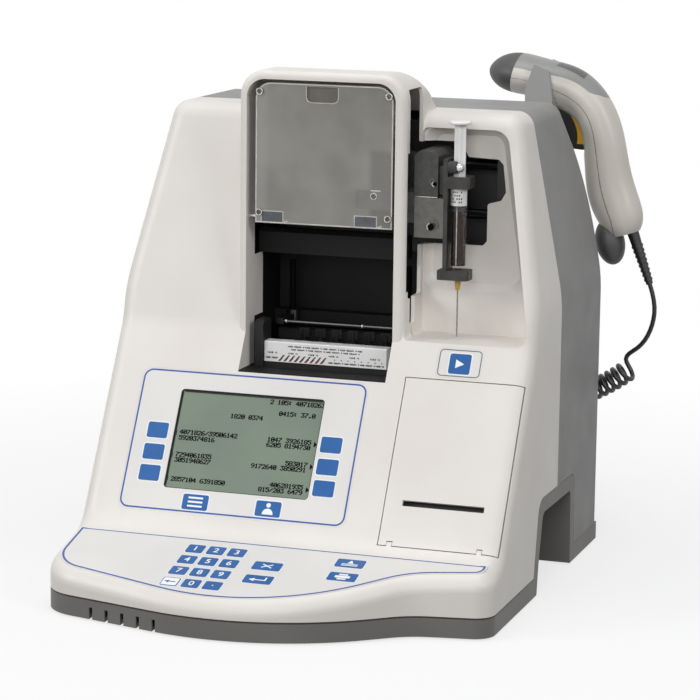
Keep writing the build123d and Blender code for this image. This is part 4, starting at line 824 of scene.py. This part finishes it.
# Offset inks sink into the paper, so they are dull.
black_ink, tree, shader = surface("black_offset_ink", 0.5)
uneven(tree, shader, "#121011", "#1C1A1B", 3)
stripe_ink, tree, shader = surface("brown_black_offset_ink", 0.5)
uneven(tree, shader, "#2A1A1C", "#3B2528", 3)
red_ink, tree, shader = surface("dark_red_offset_ink", 0.5)
uneven(tree, shader, "#A8505A", "#B6606A", 3)
give(black_ink, label_print)
give(stripe_ink, label_stripes)
give(red_ink, label_red)

# Frame inside
# Folded steel sheet with a black powder coat, ground steel guide rails that are blackened,
# a zinc-plated power supply and printer chassis, a green board, and rubber feet and rollers.

# Powder coat melts into a dull skin with a slight orange peel.
powder_black, tree, shader = surface("black_powder_coated_sheet", 0.55)
uneven(tree, shader, "#18181A", "#202022", 15)
grained(tree, shader, 1.0, 0.3)
give(powder_black, "chassis", "rail_brackets")
# Ground before it was blackened, so the dark rails still mirror the light along them.
blackened_steel, tree, shader = surface("blackened_ground_steel", 0.3, metallic=0.9)
uneven(tree, shader, "#1C1C1E", "#29292B", 12)
grained(tree, shader, 0.5, 0.1)
give(blackened_steel, "guide_rails")
give(steel, "shield_hinge_rod", "door_hinge_pins", "trigger_pin", "base_screws", "ports", "clamp_ball")
# Zinc plate is a pale, slightly cloudy metal.
zinc_sheet, tree, shader = surface("zinc_plated_sheet", 0.4, metallic=0.9)
uneven(tree, shader, "#8F9295", "#A2A5A8", 15)
grained(tree, shader, 1.0, 0.1)
give(zinc_sheet, "power_supply", "printer_frame")
# Solder mask over copper gives the board an even, half-glossy green.
board_green, tree, shader = surface("green_solder_mask", 0.4)
uneven(tree, shader, "#28523A", "#2F5F45", 10)
grained(tree, shader, 1.2, 0.2)
give(board_green, "main_board")
# Moulded nitrile rubber is dull and nearly black.
black_rubber, tree, shader = surface("black_nitrile_rubber", 0.7)
uneven(tree, shader, "#1A1A1B", "#222224", 15)
grained(tree, shader, 0.6, 0.3)
give(black_rubber, "rubber_feet", "platen_roller", "plunger_seal")
# Coated paper is white and matt.
paper, tree, shader = surface("thermal_paper", 0.8)
uneven(tree, shader, "#EEEEEA", "#F4F4F1", 20)
grained(tree, shader, 0.3, 0.1)
give(paper, "paper_roll")

# Shield
# A hinged pane of smoked polycarbonate, matt inside, so what is behind it only shows as soft shapes.
# Its sawn and flame-polished edges get a painted highlight, and a recessed finger pocket is at its top.

smoked_clear, tree, shader = surface("smoked_matt_polycarbonate", 0.3, ior=1.58)
smoke = patches(tree, "#7A7872", "#98968F", 60)
# The white rim behind its left edge shows through as a paler band, and the rail behind its right
# edge, up to the rail's top, as a darker one. Each fades out softly between two places.
rim_clear, rim_gone = -52 * MM, -43 * MM
rail_begins, rail_clear = 36 * MM, 43 * MM
rail_top, rail_below = 358 * MM, 352 * MM
place = where(tree)
paler = add(tree, "MapRange", {0: place[0], 1: rim_clear, 2: rim_gone, 3: 0.55, 4: 0.0},
            interpolation_type="SMOOTHSTEP")
with_rim = add(tree, "Mix", {0: paler.outputs[0], 6: smoke, 7: linear("#A9A7A2")}, data_type="RGBA")
beside_rail = add(tree, "MapRange", {0: place[0], 1: rail_begins, 2: rail_clear, 3: 0.0, 4: 0.5},
                  interpolation_type="SMOOTHSTEP")
under_top = add(tree, "MapRange", {0: place[2], 1: rail_top, 2: rail_below, 3: 0.0, 4: 1.0},
                interpolation_type="SMOOTHSTEP")
behind = add(tree, "Math", {0: beside_rail.outputs[0], 1: under_top.outputs[0]}, operation="MULTIPLY")
with_rail = add(tree, "Mix", {0: behind.outputs[0], 6: with_rim.outputs[2], 7: linear("#5B5957")},
                data_type="RGBA")
tree.links.new(with_rail.outputs[2], shader.inputs["Base Color"])
shader.inputs["Transmission Weight"].default_value = 0.12
shader.inputs["Alpha"].default_value = 0.86
shader.inputs["Coat Weight"].default_value = 0.5
shader.inputs["Coat Roughness"].default_value = 0.08
give(smoked_clear, "shield_door")
pane_low, pane_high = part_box("shield_door")
pane_front = pane_low.y / MM


def on_pane(x, z, out):
    """A point on the shield's front face."""
    return Vector((x, pane_front - out, z)) * MM


x0 = pane_low.x / MM
x1 = pane_high.x / MM
z0 = pane_low.z / MM
z1 = pane_high.z / MM
# The painted edge highlight keeps just inside the pane's own edge: square below and rounded above.
inside = 0.8
top_radius = 13
pane_rim = [(x0 + inside, z0 + inside), (x1 - inside, z0 + inside)]
for cx, start in ((x1 - top_radius, 0), (x0 + top_radius, 90)):
    pane_rim += arc(cx, z1 - top_radius, top_radius - inside, [start + 11.25 * i for i in range(9)])
pane_edge_highlights = line_along(pane_rim, 0.8)
tab_middles = (-42.5, 36.0)
for x in tab_middles:
    tab_edge = [(x - 9.2, z0 + 1.2), (x - 9.2, z0 + 9.7), (x + 9.2, z0 + 9.7), (x + 9.2, z0 + 1.2)]
    pane_edge_highlights += line_along(tab_edge, 0.6, closed=False)
    pane_edge_highlights += line_along([(x + 9.2, z0 + 1.2), (x + 13.5, z0 + 2.4)], 0.8, closed=False)
pocket_line = [(-14.4, 403.2), (-14.4, 394.6), (-13.2, 391.7), (-10.2, 390.6),
               (8.2, 390.6), (11.2, 391.7), (12.4, 394.6), (12.4, 403.2)]
pane_edge_highlights += line_along(pocket_line, 0.5, closed=False)
edge_highlight_strip = printed("shield_edge_painted_highlights", pane_edge_highlights, on_pane, 0.06,
                     body="shield")
# Painted highlight: the flame-polished edges, the hinge tabs' edges and the pocket's rim are drawn as
# pale lines, the brightest of the pane.
edge_highlight, tree, shader = surface("polycarbonate_edge_painted_highlight", 0.12, ior=1.58)
uneven(tree, shader, "#BFBCB6", "#DEDCD7", 8)
give(edge_highlight, edge_highlight_strip)
# The finger pocket is milled half through the pane; the shade on its floor is painted in a darker grey.
pocket_depth = 1.5
pocket_shape = [(-13.8, 402.8), (-13.8, 394.8), (-12.7, 392.2), (-10.0, 391.2),
                (8.0, 391.2), (10.7, 392.2), (11.8, 394.8), (11.8, 402.8)]
pocket_floor = printed("finger_pocket_floor", [pocket_shape], on_pane, -pocket_depth,
                       body="shield")
pocket_shade, tree, shader = surface("polycarbonate_pocket_painted_shade", 0.35, ior=1.58)
uneven(tree, shader, "#54504B", "#615D57", 12)
grained(tree, shader, 1.0, 0.2)
give(pocket_shade, pocket_floor)
# Where the hinge tabs lie behind the pane, it looks darker and cooler.
tab_shapes = [rounded(x - 9, x + 9, z0 + 1.4, z0 + 9.4, 1.0) for x in tab_middles]
hinge_tabs = printed("hinge_tab_panes", tab_shapes, on_pane, 0.03, body="shield")
tab_tint, tree, shader = surface("dark_polycarbonate_tab", 0.2, ior=1.58)
uneven(tree, shader, "#474B4E", "#565A5D", 10)
give(tab_tint, hinge_tabs)
# A steel keeper plate with its screw lies on the back of the pane and shows through it.
keeper = printed("shield_keeper_plate", [bar(27.5, 56.0, 308.5, 323.7)], on_pane, 0.03,
                 body="shield")
# The keeper's top edge gets a painted highlight, a short pale line.
keeper_highlight = printed("shield_keeper_painted_highlight", [bar(40.0, 48.5, 323.0, 323.9)], on_pane, 0.07,
                      body="shield")
keeper_grey, tree, shader = surface("keeper_seen_through_the_pane", 0.3, ior=1.58)
uneven(tree, shader, "#74726F", "#7E7C79", 14)
give(keeper_grey, keeper)
give(edge_highlight, keeper_highlight)
# Screws with a dull plate finish sit in bright countersunk rings.
dull_screw, tree, shader = surface("dull_plated_screw", 0.5, metallic=0.6)
uneven(tree, shader, "#56534E", "#66635E", 4)
grained(tree, shader, 0.4, 0.2)
give(dull_screw, "shield_screws", "carriage_screws")
to_front = (0, -1, 0)
ring_profile = ((0.0, 2.9), (0.35, 2.9), (0.5, 2.6), (0.5, 2.2), (0.1, 2.0))
ring_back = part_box("shield_screws")[0].y / MM + 0.05
screw_places = [(x0 + 3.6, 301.5), (x1 - 3.6, 301.5), (x0 + 3.6, 398), (x1 - 3.6, 398)]
rings = []
for number, (x, z) in enumerate(screw_places, start=1):
    rings.append(turned("screw_ring_%d" % number, (x, ring_back, z), to_front, ring_profile,
                        "shield", capped=False))
keeper_place = (42.6, pane_front, 318.9)
head_profile = ((0, 2.1), (0.5, 2.1), (0.7, 1.6), (0.7, 0.8), (0.4, 0.7))
rings.append(turned("keeper_ring", keeper_place, to_front, ring_profile, "shield", capped=False))
keeper_pin = turned("keeper_screw", keeper_place, to_front, head_profile, "shield")
give(dull_screw, keeper_pin)
# The rings' bright metal also serves for the painted highlights at the block screws' bores.
bright_ring_and_glint, tree, shader = surface("polished_countersink_and_painted_glint", 0.3, metallic=0.7)
uneven(tree, shader, "#A6A4A0", "#BCBAB6", 4)
grained(tree, shader, 0.4, 0.15)
give(bright_ring_and_glint, *rings)

# Dispenser
# Machined aluminium blocks with a black anodised, bead-blasted finish; the lower block is greyer.
# A thin bright shim lies between the two, and the clamp screw is knurled steel, blackened.

dispenser_black, tree, shader = surface("bead_blasted_black_anodised", 0.5, metallic=0.25)
blocks_meet = 319.0 * MM
lower = add(tree, "Math", {0: where(tree)[2], 1: blocks_meet}, operation="LESS_THAN")
tone = add(tree, "Mix", {0: lower.outputs[0], 6: patches(tree, "#3E3E3C", "#4A4A48", 6),
                         7: patches(tree, "#686763", "#757470", 6)}, data_type="RGBA")
tree.links.new(tone.outputs[2], shader.inputs["Base Color"])
grained(tree, shader, 0.9, 0.5, 0.05)
give(dispenser_black, "carriage")
# The arm and its clamp screw are anodised over a smoother cut, so they show soft highlights.
arm_black, tree, shader = surface("satin_black_anodised", 0.38, metallic=0.3)
uneven(tree, shader, "#2C2B2A", "#3A3937", 8)
grained(tree, shader, 0.8, 0.25)
give(arm_black, "thumb_screw")


def plain_block(name, across, back, up):
    """A block between two places across, two places back and two places up, in millimetres."""
    corners = in_metres([(x, y, z) for x in across for y in back for z in up])
    faces = [(0, 1, 3, 2), (4, 6, 7, 5), (0, 4, 5, 1), (2, 3, 7, 6), (0, 2, 6, 4), (1, 5, 7, 3)]
    mesh = bpy.data.meshes.new(name)
    mesh.from_pydata(corners, [], faces)
    made = bpy.data.objects.new(name, mesh)
    bpy.context.scene.collection.objects.link(made)
    return made


# The clamp bears on the barrel with its upper half only: below, its front is milled away.
milled = bmesh.new()
milled.from_mesh(nodes["syringe_arm"].data)
bmesh.ops.remove_doubles(milled, verts=milled.verts, dist=1e-6)
whole = bpy.data.meshes.new("arm_before_milling")
milled.to_mesh(whole)
milled.free()
arm = bpy.data.objects.new("arm_milled", whole)
bpy.context.scene.collection.objects.link(arm)
plate_side = 99.9
bears_above = 326.8
cutter = plain_block("cutter", (plate_side, 125), (-20, 12), (310, bears_above))
cut = arm.modifiers.new("cut", "BOOLEAN")
cut.operation = "DIFFERENCE"
cut.object = cutter
bpy.context.view_layer.update()
arm.data = bpy.data.meshes.new_from_object(arm.evaluated_get(bpy.context.evaluated_depsgraph_get()))
arm.modifiers.clear()
bpy.data.objects.remove(cutter)
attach(arm, "arm")
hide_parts("syringe_arm")
give(arm_black, arm)
# The shim lies where the two blocks meet, 0.4 mm behind their front, and its edges are broken.
shim = plain_block("carriage_shim", (71.2, 89.6), (-6.6, 36), (318.0, 318.9))
soft_edge = shim.modifiers.new("broken_edge", "BEVEL")
soft_edge.width = 0.15 * MM
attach(shim, "carriage")
give(steel, shim)

# Both block screws sit in deep bores. The shade in each bore is painted as a black disc before the
# screw's head, and the light on one side of its mouth as a painted highlight.
bore_shade_shapes = []
glint_shapes = []
for x, z, radius, start, span in ((87.3, 329.0, 1.9, 120, 150), (84.6, 294.9, 2.9, 100, 130)):
    bore_shade_shapes.append(arc(x, z, radius, range(0, 360, 20)))
    lit_side = arc(x, z, radius, [start + span * i / 8 for i in range(9)])
    glint_shapes += line_along(lit_side, 0.9, closed=False)
heads_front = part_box("carriage_screws")[0].y / MM


def on_blocks(x, z, out):
    """A point just before the heads of the block screws."""
    return Vector((x, heads_front - out, z)) * MM


bore_shades = printed("screw_bore_painted_shade", bore_shade_shapes, on_blocks, 0.03, body="carriage")
bore_glint_highlights = printed("screw_bore_painted_glints", glint_shapes, on_blocks, 0.06, body="carriage")
give(black_posts_and_bore_shade, bore_shades)
give(bright_ring_and_glint, bore_glint_highlights)

# Syringe
# A clear polypropylene barrel with a white paper label below the clamp, dark sample in it,
# a white plunger with a cross section, a grey rubber seal and a yellow hub on a steel needle.

clear_plastic, tree, shader = surface("clear_polypropylene", 0.06, ior=1.49)
uneven(tree, shader, "#E8EDEE", "#F2F5F5", 20)
shader.inputs["Transmission Weight"].default_value = 0.95
shader.inputs["Alpha"].default_value = 0.1
shader.inputs["Coat Weight"].default_value = 1.0
shader.inputs["Coat Roughness"].default_value = 0.04
give(clear_plastic, "syringe_barrel")
# The sample is nearly black; only where light passes the edge is it red.
blood, tree, shader = surface("dark_red_sample", 0.12)
uneven(tree, shader, "#160806", "#341A14", 1.6)
shader.inputs["Specular IOR Level"].default_value = 0.15
give(blood, "blood_sample")
# The hub's colour tells the needle's size; it is moulded smooth, with a soft gloss.
yellow_plastic, tree, shader = surface("yellow_moulded_plastic", 0.3)
uneven(tree, shader, "#B8952F", "#CCAA44", 4)
grained(tree, shader, 0.8, 0.1)
give(yellow_plastic, "needle_hub")
# Drawn thin and cleaned often, the needle has lost most of its shine.
needle_steel, tree, shader = surface("dull_drawn_needle_steel", 0.5, metallic=0.4)
uneven(tree, shader, "#7D766D", "#928B82", 5)
grained(tree, shader, 0.5, 0.1)
give(needle_steel, "needle")
barrel_low, barrel_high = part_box("syringe_barrel")
barrel_x = (barrel_low.x + barrel_high.x) / 2 / MM
barrel_y = -4.0
barrel_radius = 6.7


def round_barrel(turn_deg, z, out):
    """A point on the barrel, by the angle from its front and the height."""
    a = math.radians(turn_deg)
    r = barrel_radius + out
    return Vector((barrel_x + r * math.sin(a), barrel_y - r * math.cos(a), z)) * MM


label_strips = [bar(t, t + 10, 313.0, 326.2) for t in range(-80, 80, 10)]
tube_label = printed("syringe_label", label_strips, round_barrel, 0.06, body="arm")
# Coated paper, so the label is smooth and white.
label_paper, tree, shader = surface("coated_label_paper", 0.42)
uneven(tree, shader, "#D8D8D6", "#E6E6E4", 5)
grained(tree, shader, 0.3, 0.05)
give(label_paper, tube_label)
# The label's print is too small to read. Below it is the scale, with each third line longer.
marks = []
for row in range(4):
    z = 323.2 - 2.6 * row
    for i in range(6):
        if (i * 3 + row * 5) % 4:
            marks.append(bar(-48 + 15 * i, -39 + 15 * i, z, z + 1.3))
for row in range(9):
    z = 302.5 - 4.4 * row
    marks.append(bar(22, 44 if row % 3 == 0 else 34, z, z + 0.35))
# A painted highlight runs down the barrel's front as a pale vertical line.
barrel_highlight = printed("syringe_painted_highlight", [bar(-1.0, 4.5, z, z + 8) for z in range(264, 312, 8)],
                    round_barrel, 0.08, body="arm")
pale_highlight, tree, shader = surface("barrel_painted_highlight", 0.3)
uneven(tree, shader, "#8A7F7A", "#D8D4D0", 3)
give(pale_highlight, barrel_highlight)
tube_marks = printed("syringe_marks", marks, round_barrel, 0.1, body="arm")
give(black_ink, tube_marks)

# Scanner
# A hand-held reader with a warm light shell in two halves, a mid-grey top panel with a fine speaker
# grille, a dark nose and foot of rubber, and a trigger coloured yellow and dark grey.

scanner_shell, tree, shader = surface("two_tone_pc_abs", 0.34)
spot = add(tree, "NewGeometry")
# How far the surface faces away from a point in the hollow of the bend: 1 on the back, -1 inside.
hollow = (92 * MM, 223 * MM, 285 * MM)
outward = add(tree, "VectorMath", {0: spot.outputs["Position"], 1: hollow}, operation="SUBTRACT")
level = add(tree, "VectorMath", {0: outward.outputs[0], 1: (1, 0, 1)}, operation="MULTIPLY")
unit = add(tree, "VectorMath", {0: level.outputs[0]}, operation="NORMALIZE")
facing = add(tree, "VectorMath", {0: unit.outputs[0], 1: spot.outputs["Normal"]},
             operation="DOT_PRODUCT").outputs["Value"]
outer = add(tree, "MapRange", {0: facing, 1: 0.5, 2: 0.54, 3: 0.0, 4: 1.0})
# The grey panel ends in a point where the head goes over into the handle.
head_heading = (0.89, 0, -0.456)
along_head = add(tree, "VectorMath", {0: spot.outputs["Position"], 1: head_heading},
                 operation="DOT_PRODUCT").outputs["Value"]
panel_end = add(tree, "Math", {0: facing, 1: 0.035, 2: -0.054}, operation="MULTIPLY_ADD")
on_head = add(tree, "Math", {0: along_head, 1: panel_end.outputs[0]}, operation="LESS_THAN")
panel = add(tree, "Math", {0: outer.outputs[0], 1: on_head.outputs[0]}, operation="MULTIPLY")
# The two halves of the shell meet in a fine dark joint.
joint = -0.18
past_joint = add(tree, "Math", {0: facing, 1: joint}, operation="SUBTRACT")
from_joint = add(tree, "Math", {0: past_joint.outputs[0]}, operation="ABSOLUTE")
crease = add(tree, "MapRange", {0: from_joint.outputs[0], 1: 0.008, 2: 0.022, 3: 1.0, 4: 0.0})
shell_tone = add(tree, "Mix", {0: panel.outputs[0], 6: patches(tree, "#CCC7BE", "#D5D1C8", 50),
                               7: patches(tree, "#8B8B89", "#949492", 40)}, data_type="RGBA")
with_crease = add(tree, "Mix", {0: crease.outputs[0], 6: shell_tone.outputs[2], 7: linear("#7E776C")},
                  data_type="RGBA")
# The speaker's grille: round holes in rows on top of the head, 2.4 mm apart.
hole_wave = 2 * math.pi / (2.4 * MM)
grille_along, grille_half_length = -59.2 * MM, 13.2 * MM
grille_back, grille_half_width = 222.5 * MM, 10.5 * MM
back = add(tree, "SeparateXYZ", {0: spot.outputs["Position"]}).outputs[1]
row_wave = add(tree, "Math", {0: along_head, 1: hole_wave}, operation="MULTIPLY")
row_sine = add(tree, "Math", {0: row_wave.outputs[0]}, operation="SINE")
file_wave = add(tree, "Math", {0: back, 1: hole_wave}, operation="MULTIPLY")
file_sine = add(tree, "Math", {0: file_wave.outputs[0]}, operation="SINE")
weave = add(tree, "Math", {0: row_sine.outputs[0], 1: file_sine.outputs[0]}, operation="MULTIPLY")
holes = add(tree, "MapRange", {0: weave.outputs[0], 1: -0.1, 2: 0.1, 3: 0.25, 4: 1.0})
near_rows = add(tree, "Math", {0: along_head, 1: grille_along, 2: grille_half_length},
                operation="COMPARE")
near_files = add(tree, "Math", {0: back, 1: grille_back, 2: grille_half_width}, operation="COMPARE")
in_field = add(tree, "Math", {0: near_rows.outputs[0], 1: near_files.outputs[0]}, operation="MULTIPLY")
on_top = add(tree, "Math", {0: facing, 1: 0.6}, operation="GREATER_THAN")
in_grille = add(tree, "Math", {0: in_field.outputs[0], 1: on_top.outputs[0]}, operation="MULTIPLY")
grille = add(tree, "Math", {0: in_grille.outputs[0], 1: holes.outputs[0]}, operation="MULTIPLY")
with_grille = add(tree, "Mix", {0: grille.outputs[0], 6: with_crease.outputs[2], 7: linear("#2A2A2A")},
                  data_type="RGBA")
tree.links.new(with_grille.outputs[2], shader.inputs["Base Color"])
grained(tree, shader, 0.7, 0.1)
give(scanner_shell, "scanner_body")
# Soft rubber moulded over the shell takes the knocks; it is dull and a dark grey.
dark_rubber, tree, shader = surface("dark_grey_overmould", 0.5)
uneven(tree, shader, "#404042", "#4A4A4B", 20)
grained(tree, shader, 0.7, 0.2)
give(dark_rubber, "scanner_nose", "scanner_bumper")
# The trigger is yellow right of a bent line and above its toe, and dark grey elsewhere.
trigger_colours, tree, shader = surface("yellow_and_dark_grey_trigger", 0.32)
bend_height = 346 * MM
bend_place = 146.5 * MM
bend_curve = -18.0
toe_top = 341 * MM
place = where(tree)
height = add(tree, "Math", {0: place[2], 1: bend_height}, operation="SUBTRACT")
square = add(tree, "Math", {0: height.outputs[0], 1: height.outputs[0]}, operation="MULTIPLY")
bend = add(tree, "Math", {0: square.outputs[0], 1: bend_curve, 2: bend_place}, operation="MULTIPLY_ADD")
right_of_bend = add(tree, "Math", {0: place[0], 1: bend.outputs[0]}, operation="GREATER_THAN")
above_toe = add(tree, "Math", {0: place[2], 1: toe_top}, operation="GREATER_THAN")
yellow_side = add(tree, "Math", {0: right_of_bend.outputs[0], 1: above_toe.outputs[0]},
                  operation="MULTIPLY")
trigger_tone = add(tree, "Mix", {0: yellow_side.outputs[0], 6: linear("#2B2B2C"),
                                 7: patches(tree, "#DDA01E", "#EBB02A", 8)}, data_type="RGBA")
tree.links.new(trigger_tone.outputs[2], shader.inputs["Base Color"])
give(trigger_colours, "scanner_trigger")
# The reading window is dark red acrylic, smooth and glossy.
red_window, tree, shader = surface("red_scan_window", 0.08)
uneven(tree, shader, "#2A0A0E", "#3A1014", 10)
give(red_window, "scanner_window")
